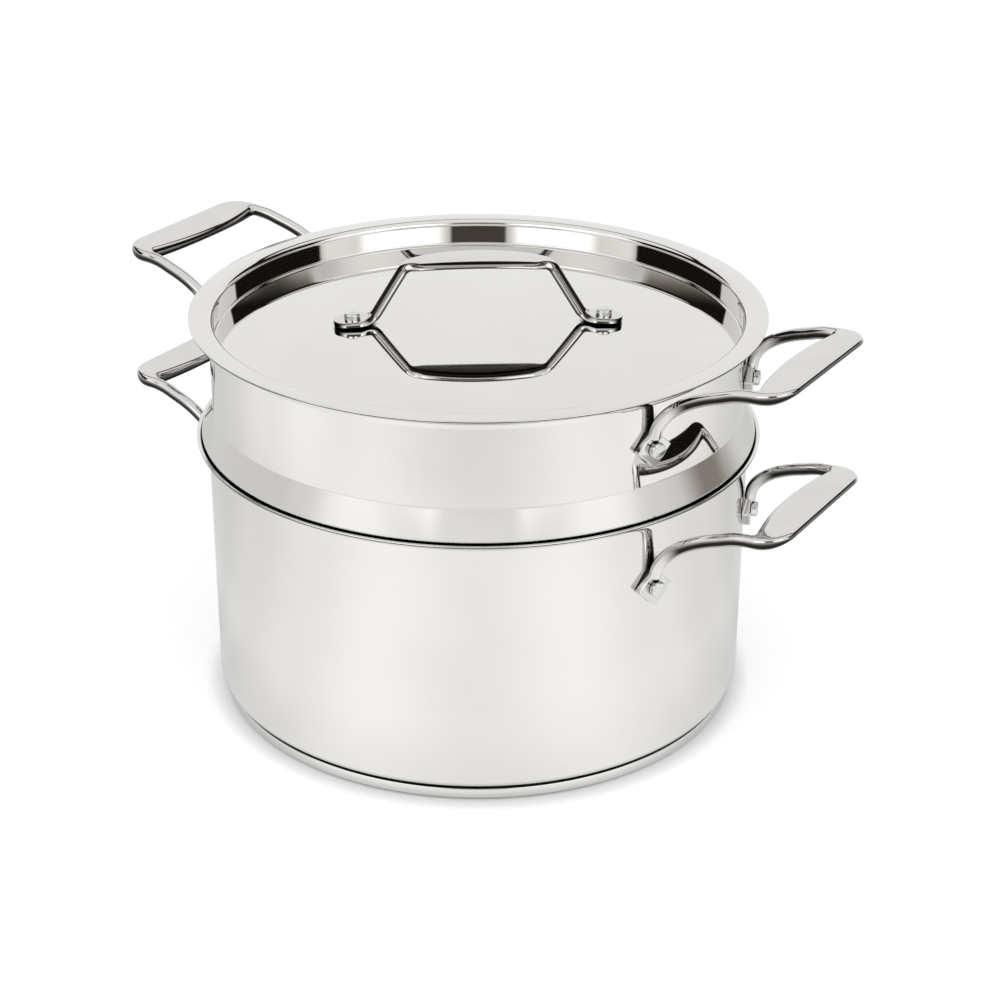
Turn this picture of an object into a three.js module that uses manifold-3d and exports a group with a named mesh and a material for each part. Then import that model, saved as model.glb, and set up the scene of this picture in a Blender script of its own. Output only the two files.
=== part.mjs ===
// Stockpot with a strainer insert and a lid, in millimetres, +Z up.
// The origin lies on the floor under the middle of the pot. The side handles lie along X.
import * as THREE from 'three';
import { mergeVertices } from 'three/addons/utils/BufferGeometryUtils.js';
import Module from 'manifold-3d';

const wasm = await Module();
wasm.setup();

const radians = THREE.MathUtils.degToRad;
const QUARTER = Math.PI / 2;

// Fits and facets
const CLEARANCE = 0.3; // gap between pieces that touch
const FACETS = 48; // sides of every turned piece, all in the same phase
const BEND_STEPS = 2; // straight steps in each bend of a section
const CURVE_STEPS = 6; // straight steps in each curve of an extruded outline
const WELD = 1e-4; // vertices closer than this are one vertex

// Pot
const POT_RADIUS = 125; // outside of the wall
const POT_HEIGHT = 129.3; // floor to the top of the lip
const POT_SHEET = 1.0;
const POT_CORNER = 4.0; // outer radius between the wall and the bottom

// Pouring lip, the same on the pot and the insert
const LIP_REACH = 5.4; // how far the lip stands out from its wall
const LIP_BEND = 5.5; // outer radius of the bend
const LIP_ANGLE = radians(62); // how far the bend turns out from upright

// Capsule base
const BASE_HEIGHT = 7.0; // floor to the underside of the pot's bottom
const BASE_SEAM = 1.1; // open groove between the cap and the pot
const SEAM_DEPTH = 4.0; // how far the core's edge slopes back behind the groove
const BASE_INSET = 2.5; // how far the cap stands back from the pot's wall
const CAP_SHEET = 0.8;
const CAP_CORNER = 2.0;

// Insert
const INSERT_INSET = 2.4; // how far its upper wall stands back from the pot's wall
const INSERT_SHEET = 0.8;
const INSERT_RISE = 56.0; // top of the pot's lip to the top of the insert's lip
const SKIRT_HEIGHT = 13.7; // top of the pot's lip to the top of the resting skirt
const SKIRT_INSET = 2.2; // skirt foot behind the edge of the pot's lip
const SEAT_START = radians(15); // where the seat meets the bend of the pot's lip
const SEAT_END = radians(45); // where it runs straight out to the skirt's foot
const NECK_DROP = 7.0; // from the pot's lip bend down to the straight basket
const BASKET_PLAY = 1.0; // basket to the rivet tails inside the pot
const BASKET_TAPER = 3.0;
const BASKET_CORNER = 9.0;
const BASKET_LIFT = 10.0; // clear height between the pot's bottom and the basket

// Perforations in the basket
const HOLE_DIAMETER = 6.5;
const HOLE_SIDES = 6;
const WALL_HOLE_ROWS = 3;
const WALL_HOLE_PITCH = 22; // row to row
const WALL_HOLE_START = 24; // basket bottom to the first row
const WALL_HOLES_PER_ROW = 16;
const FLOOR_HOLE_RINGS = 2; // rings round one hole in the middle
const FLOOR_HOLE_STEP = 6; // holes that each ring has more than the one inside it
const FLOOR_HOLE_PITCH = 40; // ring to ring

// Lid
const LID_SHEET = 0.8;
const LID_OVERHANG = 3.4; // flange past the insert's lip
const LID_PLAY = 0.6; // plug to the insert's bore
const LID_DEPTH = 12.4; // flange top to the edge of the sunk panel
const LID_CROWN = 5.2; // rise of the panel at its middle
const LID_CORNER = 1.7;
const LID_SHOULDER = 2.2;
const PANEL_RINGS = 4;

// Rivets
const RIVET_SHANK = 4.6;
const RIVET_HEAD = 7.2;
const RIVET_HEAD_HEIGHT = 3.0;
const RIVET_HEAD_CHAMFER = 0.6;
const RIVET_TAIL = 8.4;
const RIVET_TAIL_HEIGHT = 1.2;
const RIVET_SIDES = 10;

// Side handles
const POT_RIVET_DROP = 33.2; // top of the pot's lip down to its rivets
const INSERT_RIVET_DROP = 24.3; // top of the insert's lip down to its rivets
const HANDLE_REACH = 52.3; // wall to the outer edge of the grip
const FOOT_SPREAD = 45.2; // rivet to the handle's middle plane
const PAD_SIZE = 12.6;
const PAD_THICKNESS = 3.2;
const PAD_TURN = radians(43); // the pads stand on a corner
const ARM_DIAMETER = 5.7;
const ARM_SIDES = 8;
const ARM_STEPS = 9;
const ARM_START = RIVET_HEAD / 2 + 2 * CLEARANCE; // start of an arm above its rivet
const ARM_PULL_UP = 15.8; // how strongly an arm keeps to the wall
const ARM_PULL_OUT = 24.4; // how strongly it keeps to the slope of the grip
const ARM_END = 10.0; // end of an arm behind the grip's outer edge
const ARM_STAND_OFF = 2.6; // middle of an arm's foot to the wall
const GRIP_RISE = 35.1; // rivets to the top of the grip's outer edge
const GRIP_TILT = radians(4.5);
const GRIP_SPREAD = 39.1; // arm to the handle's middle plane, at the grip
const GRIP_CORNER = 10.0;
const GRIP_WIDTH = 18.2; // at the middle
const GRIP_END_WIDTH = 10.7;
const GRIP_EDGE = 2.4; // thickness of the outer edge
const GRIP_BELLY = 5.6; // thickness at the fullest place
const GRIP_INNER_EDGE = 4.0;
const GRIP_ROUND = 0.7;

// Lid handle
const LID_HANDLE_TURN = radians(35); // about Z, from the side handles
const LID_FOOT_SPREAD = 57.5;
const LID_TAB_RADIUS = 6.5;
const LID_TAB_OFFSET = 2.0; // middle of the tab's round end past the rivet
const LID_TAB_THICKNESS = 2.6;
const LID_HANDLE_RISE = 32.6; // panel at the feet to the top of the grip's middle
const LID_GRIP_ARCH = 2.2;
const LID_GRIP_HALF = 33.0; // middle to the bend into a leg
const LID_GRIP_WIDTH = 17.0;
const LID_GRIP_END_WIDTH = 9.0;
const LID_GRIP_TAPER = 4.0; // length in which each end narrows to the bar
const LID_GRIP_THICKNESS = 4.4;
const LID_GRIP_END_THICKNESS = 3.2;
const LID_LEG_FOOT = 48.0; // where the leg meets its tab
const LID_BAR = 5.0;
const LID_BAR_BEVEL = 1.4;
const LID_BAR_BEND = 7.0; // radius of its bends

// Derived places
const FACET_SAG = POT_RADIUS * (1 - Math.cos(Math.PI / FACETS)); // flat facet inside the true circle
const potBore = POT_RADIUS - POT_SHEET;
const lipRun = (LIP_REACH - LIP_BEND * (1 - Math.cos(LIP_ANGLE))) / Math.sin(LIP_ANGLE);
const capRadius = POT_RADIUS - BASE_INSET;
const insertRadius = POT_RADIUS - INSERT_INSET;
const insertBore = insertRadius - INSERT_SHEET;
const insertRimZ = POT_HEIGHT + INSERT_RISE;
const potRivetZ = POT_HEIGHT - POT_RIVET_DROP;
const insertRivetZ = insertRimZ - INSERT_RIVET_DROP;
const flangeZ = insertRimZ + CLEARANCE;
const plugRadius = insertBore - LID_PLAY;
const panelRadius = plugRadius - LID_CORNER;
const panelEdgeZ = flangeZ + LID_SHEET - LID_DEPTH;
const basketRadius = potBore - FACET_SAG - CLEARANCE - RIVET_TAIL_HEIGHT - BASKET_PLAY;
const basketZ = BASE_HEIGHT + POT_SHEET + BASKET_LIFT;

const steel = { color: 0xd9d9d6, metalness: 1, roughness: 0.12 };
const aluminium = { color: 0xb9bdc1, metalness: 1, roughness: 0.45 };

// Solids

function toSolid(geometry) {
  const bare = new THREE.BufferGeometry();
  bare.setAttribute('position', geometry.getAttribute('position'));
  bare.setIndex(geometry.index);
  const merged = mergeVertices(bare, WELD);
  const triangles = [];
  for (let i = 0; i < merged.index.count; i += 3) {
    const corners = [0, 1, 2].map((k) => merged.index.getX(i + k));
    if (new Set(corners).size === 3) triangles.push(...corners);
  }
  return new wasm.Manifold(new wasm.Mesh({
    numProp: 3,
    vertProperties: new Float32Array(merged.getAttribute('position').array),
    triVerts: new Uint32Array(triangles),
  }));
}

function toGeometry(solid) {
  const { vertProperties, triVerts } = solid.getMesh();
  const geometry = new THREE.BufferGeometry();
  geometry.setAttribute('position', new THREE.BufferAttribute(vertProperties, 3));
  geometry.setIndex(new THREE.BufferAttribute(triVerts, 1));
  return geometry;
}

const join = (solids) => solids.reduce((whole, solid) => whole.add(solid));
const cut = (solid, tools) => tools.reduce((rest, tool) => rest.subtract(tool), solid);

// Turned sections are lists of (radius, height), from the axis outward and up.

const at = (radius, height) => new THREE.Vector2(radius, height);

function arc(centre, radius, from, to, steps = BEND_STEPS) {
  return Array.from({ length: steps + 1 }, (_, i) => {
    const angle = from + (to - from) * i / steps;
    return at(centre.x + radius * Math.cos(angle), centre.y + radius * Math.sin(angle));
  });
}

// The line moved to its left by a distance, with mitred corners.
function offsetLine(line, distance) {
  const normals = line.slice(1).map((point, i) => {
    const along = point.clone().sub(line[i]).normalize();
    return at(-along.y, along.x);
  });
  return line.map((point, i) => {
    const before = normals[Math.max(i - 1, 0)];
    const after = normals[Math.min(i, normals.length - 1)];
    const mitre = before.clone().add(after).multiplyScalar(distance / (1 + before.dot(after)));
    return point.clone().add(mitre);
  });
}

// The line with its inner corners cut to bends of a radius.
function rounded(line, radius) {
  return line.flatMap((point, i) => {
    if (i === 0 || i === line.length - 1) return [point];
    const back = line[i - 1].clone().sub(point).normalize();
    const on = line[i + 1].clone().sub(point).normalize();
    const setback = radius / Math.tan(back.angleTo(on) / 2);
    const start = point.clone().addScaledVector(back, setback);
    const end = point.clone().addScaledVector(on, setback);
    return new THREE.QuadraticBezierCurve(start, point, end).getPoints(BEND_STEPS);
  });
}

// The closed section of a sheet whose outer side is the line, which starts on the axis.
function sheetSection(line, sheet) {
  const inner = offsetLine(line, sheet);
  inner[0].x = 0;
  return [...line, ...inner.reverse()];
}

function turned(section, facets = FACETS) {
  return new THREE.LatheGeometry(section, facets).rotateX(QUARTER);
}

// Extrusions

function prism(shape, from, to, options = {}) {
  const settings = { depth: to - from, bevelEnabled: false, curveSegments: CURVE_STEPS, ...options };
  return new THREE.ExtrudeGeometry(shape, settings).translate(0, 0, from);
}

// A side view in X and Z, extruded evenly to both sides of Y = 0.
function sidePrism(shape, halfWidth, options = {}) {
  return prism(shape, -halfWidth, halfWidth, options).rotateX(QUARTER);
}

// Pot

const lipStart = (topZ, sheet) => topZ
  - (LIP_BEND + sheet) * Math.sin(LIP_ANGLE) - lipRun * Math.cos(LIP_ANGLE);

// The outer line of a lip that bends out of a wall.
function lipLine(wallRadius, topZ, sheet) {
  const centre = at(wallRadius + LIP_BEND, lipStart(topZ, sheet));
  const bend = arc(centre, LIP_BEND, Math.PI, Math.PI - LIP_ANGLE);
  const last = bend[bend.length - 1];
  const run = at(Math.sin(LIP_ANGLE), Math.cos(LIP_ANGLE)).multiplyScalar(lipRun);
  return [...bend, last.clone().add(run)];
}

function potShell() {
  const corner = at(POT_RADIUS - POT_CORNER, BASE_HEIGHT + POT_CORNER);
  const line = [
    at(0, BASE_HEIGHT),
    ...arc(corner, POT_CORNER, -QUARTER, 0),
    ...lipLine(POT_RADIUS, POT_HEIGHT, POT_SHEET),
  ];
  return turned(sheetSection(line, POT_SHEET));
}

function baseCap() {
  const corner = at(capRadius - CAP_CORNER, CAP_CORNER);
  const line = [
    at(0, 0),
    ...arc(corner, CAP_CORNER, -QUARTER, 0),
    at(capRadius, BASE_HEIGHT - BASE_SEAM),
  ];
  return turned(sheetSection(line, CAP_SHEET));
}

function baseCore() {
  const radius = capRadius - CAP_SHEET - CLEARANCE;
  const corner = Math.max(CAP_CORNER - CAP_SHEET, 0);
  const low = CAP_SHEET + CLEARANCE;
  const high = BASE_HEIGHT - CLEARANCE;
  return turned([
    at(0, low),
    at(radius - corner, low),
    at(radius, low + corner),
    at(radius, BASE_HEIGHT - BASE_SEAM - CAP_SHEET),
    at(radius - SEAM_DEPTH, high),
    at(0, high),
  ]);
}

// Insert

function insertLine() {
  const floorRadius = basketRadius - BASKET_TAPER;
  const corner = at(floorRadius - BASKET_CORNER, basketZ + BASKET_CORNER);
  const lipCentre = at(POT_RADIUS + LIP_BEND, lipStart(POT_HEIGHT, POT_SHEET));
  const seatRadius = LIP_BEND + POT_SHEET + CLEARANCE;
  const seat = arc(lipCentre, seatRadius, Math.PI - SEAT_START, Math.PI - SEAT_END);
  const seatEnd = seat[seat.length - 1];
  const footRadius = POT_RADIUS + LIP_REACH - SKIRT_INSET;
  const footZ = seatEnd.y + (footRadius - seatEnd.x) / Math.tan(SEAT_END);
  return [
    at(0, basketZ),
    ...arc(corner, BASKET_CORNER, -QUARTER, 0),
    at(basketRadius, lipCentre.y - NECK_DROP),
    ...seat,
    at(footRadius, footZ),
    at(insertRadius, POT_HEIGHT + SKIRT_HEIGHT),
    ...lipLine(insertRadius, insertRimZ, INSERT_SHEET),
  ];
}

// Round tools for the holes in the basket: rings in the floor, staggered rows in the wall.
function perforations() {
  const radius = HOLE_DIAMETER / 2;
  const drill = new THREE.CylinderGeometry(radius, radius, BASKET_LIFT, HOLE_SIDES);
  const upright = drill.clone().rotateX(QUARTER);
  const level = drill.clone().rotateZ(QUARTER);
  const tools = [upright.clone().translate(0, 0, basketZ)];
  for (let ring = 1; ring <= FLOOR_HOLE_RINGS; ring += 1) {
    const count = FLOOR_HOLE_STEP * ring;
    for (let i = 0; i < count; i += 1) {
      const tool = upright.clone().translate(ring * FLOOR_HOLE_PITCH, 0, basketZ);
      tools.push(tool.rotateZ(2 * Math.PI * i / count));
    }
  }
  for (let row = 0; row < WALL_HOLE_ROWS; row += 1) {
    const height = basketZ + WALL_HOLE_START + row * WALL_HOLE_PITCH;
    for (let i = 0; i < WALL_HOLES_PER_ROW; i += 1) {
      const turn = (i + (row % 2) / 2) / WALL_HOLES_PER_ROW;
      tools.push(level.clone().translate(basketRadius, 0, height).rotateZ(2 * Math.PI * turn));
    }
  }
  return tools.map(toSolid);
}

// Lid

// Height of the panel's top side, sunk in the lid and crowned towards its middle.
const panelTop = (radius) => panelEdgeZ + LID_CROWN * (1 - (radius / panelRadius) ** 2);

function panelLine(rise) {
  return Array.from({ length: PANEL_RINGS }, (_, i) => {
    const radius = panelRadius * i / PANEL_RINGS;
    return at(radius, panelTop(radius) + rise);
  });
}

function lidPan() {
  const under = panelEdgeZ - LID_SHEET;
  const shoulder = at(plugRadius + LID_SHOULDER, flangeZ - LID_SHOULDER);
  const line = [
    ...panelLine(-LID_SHEET),
    ...arc(at(panelRadius, under + LID_CORNER), LID_CORNER, -QUARTER, 0),
    ...arc(shoulder, LID_SHOULDER, Math.PI, QUARTER),
    at(insertRadius + LIP_REACH + LID_OVERHANG, flangeZ),
  ];
  return turned(sheetSection(line, LID_SHEET));
}

// Rivets stand on Z = 0, the outside of the sheet that they pass through.

function rivet(sheet, plate, tailGap) {
  const seat = CLEARANCE + plate + CLEARANCE;
  const top = seat + RIVET_HEAD_HEIGHT;
  const tail = -sheet - tailGap;
  return turned([
    at(0, tail - RIVET_TAIL_HEIGHT),
    at(RIVET_TAIL / 2, tail - RIVET_TAIL_HEIGHT),
    at(RIVET_TAIL / 2, tail),
    at(RIVET_SHANK / 2, tail),
    at(RIVET_SHANK / 2, seat),
    at(RIVET_HEAD / 2, seat),
    at(RIVET_HEAD / 2, top - RIVET_HEAD_CHAMFER),
    at(RIVET_HEAD / 2 - RIVET_HEAD_CHAMFER, top),
    at(0, top),
  ], RIVET_SIDES);
}

// The hole that a rivet's shank passes through, along Z.
function rivetHole() {
  const radius = RIVET_SHANK / 2 + CLEARANCE;
  const reach = PAD_THICKNESS + RIVET_HEAD_HEIGHT;
  return turned([at(0, -reach), at(radius, -reach), at(radius, reach), at(0, reach)], RIVET_SIDES);
}

// Moves a piece that stands on Z = 0 to a foot of a side handle, standing out from the wall.
const outward = new THREE.Matrix4().makeBasis(
  new THREE.Vector3(0, 1, 0),
  new THREE.Vector3(0, 0, 1),
  new THREE.Vector3(1, 0, 0),
);
const footAngle = (wallRadius, side) => side * Math.asin(FOOT_SPREAD / wallRadius);

function onWall(geometry, wallRadius, side, height) {
  return geometry.applyMatrix4(outward)
    .translate(wallRadius, 0, height)
    .rotateZ(footAngle(wallRadius, side));
}

// Side handles, made at the +X side

const gripEdge = (wallRadius) => wallRadius + HANDLE_REACH;

function gripPlan(edgeX) {
  const half = GRIP_SPREAD + ARM_DIAMETER / 2;
  const endX = edgeX - GRIP_END_WIDTH;
  const cornerX = edgeX - GRIP_CORNER;
  const cornerY = half - GRIP_CORNER;
  const bulgeX = endX - 2 * (GRIP_WIDTH - GRIP_END_WIDTH);
  const shape = new THREE.Shape().moveTo(endX, half);
  shape.quadraticCurveTo(bulgeX, 0, endX, -half);
  shape.lineTo(cornerX, -half);
  shape.absarc(cornerX, -cornerY, GRIP_CORNER, -QUARTER, 0, false);
  shape.lineTo(edgeX, cornerY);
  shape.absarc(cornerX, cornerY, GRIP_CORNER, 0, QUARTER, false);
  return shape;
}

// Height of the grip's top side at a distance inside its outer edge.
const gripTop = (inside, rivetZ) => rivetZ + GRIP_RISE - inside * Math.tan(GRIP_TILT);

function gripSide(edgeX, rivetZ) {
  const width = GRIP_WIDTH + CLEARANCE;
  const edgeTop = gripTop(0, rivetZ);
  const innerTop = gripTop(width, rivetZ);
  const bellyTop = gripTop(GRIP_WIDTH / 2, rivetZ);
  const shape = new THREE.Shape().moveTo(edgeX - width, innerTop);
  shape.lineTo(edgeX - width, innerTop - GRIP_INNER_EDGE);
  shape.quadraticCurveTo(
    edgeX - GRIP_WIDTH / 2, bellyTop - 2 * GRIP_BELLY + (GRIP_EDGE + GRIP_INNER_EDGE) / 2,
    edgeX - GRIP_ROUND, edgeTop - GRIP_EDGE,
  );
  shape.lineTo(edgeX, edgeTop - GRIP_EDGE + GRIP_ROUND);
  shape.lineTo(edgeX, edgeTop - GRIP_ROUND);
  shape.lineTo(edgeX - GRIP_ROUND, edgeTop);
  return shape;
}

function grip(edgeX, rivetZ) {
  const plan = prism(gripPlan(edgeX), rivetZ, rivetZ + 2 * GRIP_RISE);
  const side = sidePrism(gripSide(edgeX, rivetZ), GRIP_SPREAD + ARM_DIAMETER);
  return toSolid(plan).intersect(toSolid(side));
}

function arm(wallRadius, rivetZ, side) {
  const radius = ARM_DIAMETER / 2;
  const section = new THREE.Shape(arc(at(0, 0), radius, 0, 2 * Math.PI, ARM_SIDES).slice(1));
  const angle = footAngle(wallRadius, side);
  const footRadius = wallRadius + ARM_STAND_OFF;
  const foot = new THREE.Vector3(
    footRadius * Math.cos(angle),
    footRadius * Math.sin(angle),
    rivetZ + ARM_START,
  );
  const end = new THREE.Vector3(
    gripEdge(wallRadius) - ARM_END,
    side * GRIP_SPREAD,
    gripTop(ARM_END, rivetZ) - radius,
  );
  const slope = new THREE.Vector3(1, 0, Math.tan(GRIP_TILT));
  const rise = foot.clone().add(new THREE.Vector3(0, 0, ARM_PULL_UP));
  const level = end.clone().addScaledVector(slope, -ARM_PULL_OUT);
  rise.y = THREE.MathUtils.lerp(foot.y, end.y, 1 / 3);
  level.y = THREE.MathUtils.lerp(foot.y, end.y, 2 / 3);
  const path = new THREE.CubicBezierCurve3(foot, rise, level, end);
  return toSolid(new THREE.ExtrudeGeometry(section, { steps: ARM_STEPS, extrudePath: path }));
}

function pad(wallRadius, rivetZ, side) {
  const half = PAD_SIZE / 2;
  const square = new THREE.Shape([at(-half, -half), at(half, -half), at(half, half), at(-half, half)]);
  const plate = prism(square, -PAD_THICKNESS, CLEARANCE + PAD_THICKNESS).rotateZ(side * PAD_TURN);
  return toSolid(onWall(plate, wallRadius, side, rivetZ));
}

function sideHandle(wallRadius, rivetZ) {
  const feet = [-1, 1];
  const body = join([
    grip(gripEdge(wallRadius), rivetZ),
    ...feet.map((side) => arm(wallRadius, rivetZ, side)),
    ...feet.map((side) => pad(wallRadius, rivetZ, side)),
  ]);
  const bore = wallRadius + CLEARANCE;
  const low = rivetZ - PAD_SIZE;
  const high = rivetZ + GRIP_RISE;
  const wall = turned([at(0, low), at(bore, low), at(bore, high), at(0, high)]);
  const holes = feet.map((side) => onWall(rivetHole(), wallRadius, side, rivetZ));
  return toGeometry(cut(body, [wall, ...holes].map(toSolid)));
}

// A vessel with holes for the rivets of its two side handles.
function drilled(vessel, wallRadius, rivetZ) {
  const tools = [-1, 1].flatMap((side) => [0, Math.PI].map((turn) => (
    toSolid(onWall(rivetHole(), wallRadius, side, rivetZ).rotateZ(turn))
  )));
  return cut(vessel, tools);
}

// Lid handle, made along X

const lidFootZ = panelTop(LID_FOOT_SPREAD) + CLEARANCE;
const lidGripZ = lidFootZ - CLEARANCE + LID_HANDLE_RISE;

function lidBar() {
  const half = LID_BAR / 2;
  const low = lidFootZ + half;
  const high = lidGripZ - LID_GRIP_ARCH - half;
  const line = rounded([
    at(LID_FOOT_SPREAD, low),
    at(LID_LEG_FOOT, low),
    at(LID_GRIP_HALF, high),
    at(-LID_GRIP_HALF, high),
    at(-LID_LEG_FOOT, low),
    at(-LID_FOOT_SPREAD, low),
  ], LID_BAR_BEND);
  const shape = new THREE.Shape([...offsetLine(line, half), ...offsetLine(line, -half).reverse()]);
  const bevel = {
    bevelEnabled: true,
    bevelSegments: 1,
    bevelSize: LID_BAR_BEVEL,
    bevelThickness: LID_BAR_BEVEL,
    bevelOffset: -LID_BAR_BEVEL,
  };
  return toSolid(sidePrism(shape, half - LID_BAR_BEVEL, bevel));
}

function lidGrip() {
  const half = LID_GRIP_HALF;
  const full = half - LID_GRIP_TAPER;
  const neck = LID_BAR / 2;
  const halfEnd = LID_GRIP_END_WIDTH / 2;
  const bulge = LID_GRIP_WIDTH - halfEnd;
  const plan = new THREE.Shape().moveTo(half, -neck);
  plan.lineTo(half, neck);
  plan.lineTo(full, halfEnd);
  plan.quadraticCurveTo(0, bulge, -full, halfEnd);
  plan.lineTo(-half, neck);
  plan.lineTo(-half, -neck);
  plan.lineTo(-full, -halfEnd);
  plan.quadraticCurveTo(0, -bulge, full, -halfEnd);
  const topZ = lidGripZ - LID_GRIP_ARCH;
  const lowZ = topZ - LID_GRIP_END_THICKNESS;
  const lowArch = LID_GRIP_ARCH + LID_GRIP_END_THICKNESS - LID_GRIP_THICKNESS;
  const side = new THREE.Shape().moveTo(half, topZ);
  side.quadraticCurveTo(0, topZ + 2 * LID_GRIP_ARCH, -half, topZ);
  side.lineTo(-half, lowZ);
  side.quadraticCurveTo(0, lowZ + 2 * lowArch, half, lowZ);
  const planSolid = toSolid(prism(plan, lidFootZ, lidGripZ + LID_GRIP_THICKNESS));
  return planSolid.intersect(toSolid(sidePrism(side, LID_GRIP_WIDTH)));
}

function lidTab(side) {
  const endX = LID_FOOT_SPREAD + LID_TAB_OFFSET;
  const neck = LID_BAR / 2;
  const shape = new THREE.Shape().moveTo(LID_LEG_FOOT, -neck);
  shape.lineTo(endX - LID_TAB_RADIUS, -LID_TAB_RADIUS);
  shape.absarc(endX, 0, LID_TAB_RADIUS, -QUARTER, QUARTER, false);
  shape.lineTo(endX - LID_TAB_RADIUS, LID_TAB_RADIUS);
  shape.lineTo(LID_LEG_FOOT, neck);
  const tab = prism(shape, lidFootZ - LID_TAB_THICKNESS, lidFootZ + LID_TAB_THICKNESS);
  return toSolid(side > 0 ? tab : tab.rotateZ(Math.PI));
}

function lidHandle() {
  const ends = [-1, 1];
  const body = join([lidBar(), lidGrip(), ...ends.map(lidTab)]);
  const seat = turned([
    at(0, panelEdgeZ - LID_DEPTH),
    at(panelRadius, panelEdgeZ - LID_DEPTH),
    at(panelRadius, panelEdgeZ + CLEARANCE),
    ...panelLine(CLEARANCE).reverse(),
  ]);
  const headroom = new THREE.Shape().absarc(0, 0, RIVET_HEAD / 2 + CLEARANCE, 0, 2 * Math.PI);
  const tools = ends.flatMap((side) => [
    rivetHole().translate(side * LID_FOOT_SPREAD, 0, lidFootZ),
    prism(headroom, lidFootZ + LID_TAB_THICKNESS, lidGripZ).translate(side * LID_FOOT_SPREAD, 0, 0),
  ]);
  return toGeometry(cut(body, [seat, ...tools].map(toSolid)));
}

// Assembly

const stockpot = new THREE.Group();

function place(name, geometry, finish, parent = stockpot) {
  geometry.computeVertexNormals();
  const mesh = new THREE.Mesh(geometry, new THREE.MeshStandardMaterial(finish));
  mesh.name = name;
  parent.add(mesh);
}

place('pot_shell', toGeometry(drilled(toSolid(potShell()), POT_RADIUS, potRivetZ)), steel);
place('base_core', baseCore(), aluminium);
place('base_cap', baseCap(), steel);

const basket = cut(toSolid(turned(sheetSection(insertLine(), INSERT_SHEET))), perforations());
place('insert_basket', toGeometry(drilled(basket, insertRadius, insertRivetZ)), steel);

const vessels = [
  { name: 'pot', radius: POT_RADIUS, sheet: POT_SHEET, rivetZ: potRivetZ },
  { name: 'insert', radius: insertRadius, sheet: INSERT_SHEET, rivetZ: insertRivetZ },
];
for (const { name, radius, sheet, rivetZ } of vessels) {
  for (const hand of ['right', 'left']) {
    const half = new THREE.Group();
    half.rotation.z = hand === 'right' ? 0 : Math.PI;
    stockpot.add(half);
    place(`${name}_handle_${hand}`, sideHandle(radius, rivetZ), steel, half);
    for (const side of [-1, 1]) {
      const towards = (side < 0) === (hand === 'right') ? 'front' : 'back';
      const fastener = rivet(sheet, PAD_THICKNESS, FACET_SAG + CLEARANCE);
      place(`${name}_rivet_${hand}_${towards}`, onWall(fastener, radius, side, rivetZ), steel, half);
    }
  }
}

const lidHoles = [-1, 1].map((side) => (
  toSolid(rivetHole().translate(side * LID_FOOT_SPREAD, 0, lidFootZ).rotateZ(LID_HANDLE_TURN))
));
place('lid_pan', toGeometry(cut(toSolid(lidPan()), lidHoles)), steel);

const lidTop = new THREE.Group();
lidTop.rotation.z = LID_HANDLE_TURN;
stockpot.add(lidTop);
place('lid_handle', lidHandle(), steel, lidTop);
for (const hand of ['right', 'left']) {
  const slope = panelTop(LID_FOOT_SPREAD) - panelTop(LID_FOOT_SPREAD + RIVET_TAIL);
  const fastener = rivet(LID_SHEET, LID_TAB_THICKNESS, CLEARANCE + slope);
  const x = hand === 'right' ? LID_FOOT_SPREAD : -LID_FOOT_SPREAD;
  place(`lid_rivet_${hand}`, fastener.translate(x, 0, lidFootZ - CLEARANCE), steel, lidTop);
}

export default stockpot;
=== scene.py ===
"""Looks of a stockpot with a strainer insert and a lid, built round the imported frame.

Sizes are in millimetres in the frame's axes; each mesh is scaled to metres as it is made.
"""

import math

import bpy
import bmesh
from mathutils import Matrix, Vector


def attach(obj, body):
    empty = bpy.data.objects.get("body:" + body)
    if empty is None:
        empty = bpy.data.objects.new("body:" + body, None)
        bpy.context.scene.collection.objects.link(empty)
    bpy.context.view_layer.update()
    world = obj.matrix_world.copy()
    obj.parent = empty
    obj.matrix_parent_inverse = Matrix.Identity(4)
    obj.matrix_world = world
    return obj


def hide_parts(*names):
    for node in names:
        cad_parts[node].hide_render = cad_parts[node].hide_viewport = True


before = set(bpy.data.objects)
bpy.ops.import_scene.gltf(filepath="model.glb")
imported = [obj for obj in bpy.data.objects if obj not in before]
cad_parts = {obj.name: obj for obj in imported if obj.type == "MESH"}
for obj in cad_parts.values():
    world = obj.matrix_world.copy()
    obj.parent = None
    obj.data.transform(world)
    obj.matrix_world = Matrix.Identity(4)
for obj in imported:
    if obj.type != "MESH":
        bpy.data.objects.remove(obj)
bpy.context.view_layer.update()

MM = 0.001
QUARTER = math.pi / 2

# Fineness of the meshes
SEGMENTS = 240  # round a turned piece
RIVET_SEGMENTS = 48
BEND_STEPS = 10
EDGE_STEPS = 6  # round the free edge of a sheet
SUPPORT = 0.3  # ring this close to each end of a straight run, so that bends don't shade into it
LONG_RUN = 4 * SUPPORT  # straight runs longer than this are supported
EDGE_TAKEN = 0.6  # share of a sheet's thickness that its rounded edge takes from its length
SHARP = math.radians(38)
SMALL_STEP = 1e-3  # along a curve, to find its direction or where it ends
TINY = 1e-6
ROUND = 2.0  # power of a round section

# Fits
CLEARANCE = 0.3

# Pot
POT_RADIUS = 125.0
POT_HEIGHT = 129.3
POT_SHEET = 1.0
POT_CORNER = 4.0

# Pouring lip of the pot and the insert
LIP_REACH = 5.4
LIP_BEND = 5.5
LIP_ANGLE = math.radians(62)
LIP_ROLL = 0.6  # radius under the rolled edge
LIP_ROLL_END = math.radians(112)

# Capsule base
BASE_HEIGHT = 7.0
BASE_SEAM = 1.3
CAP_RADIUS = POT_RADIUS - 2.5
CAP_SHEET = 0.8
CAP_CORNER = 2.0

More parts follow.
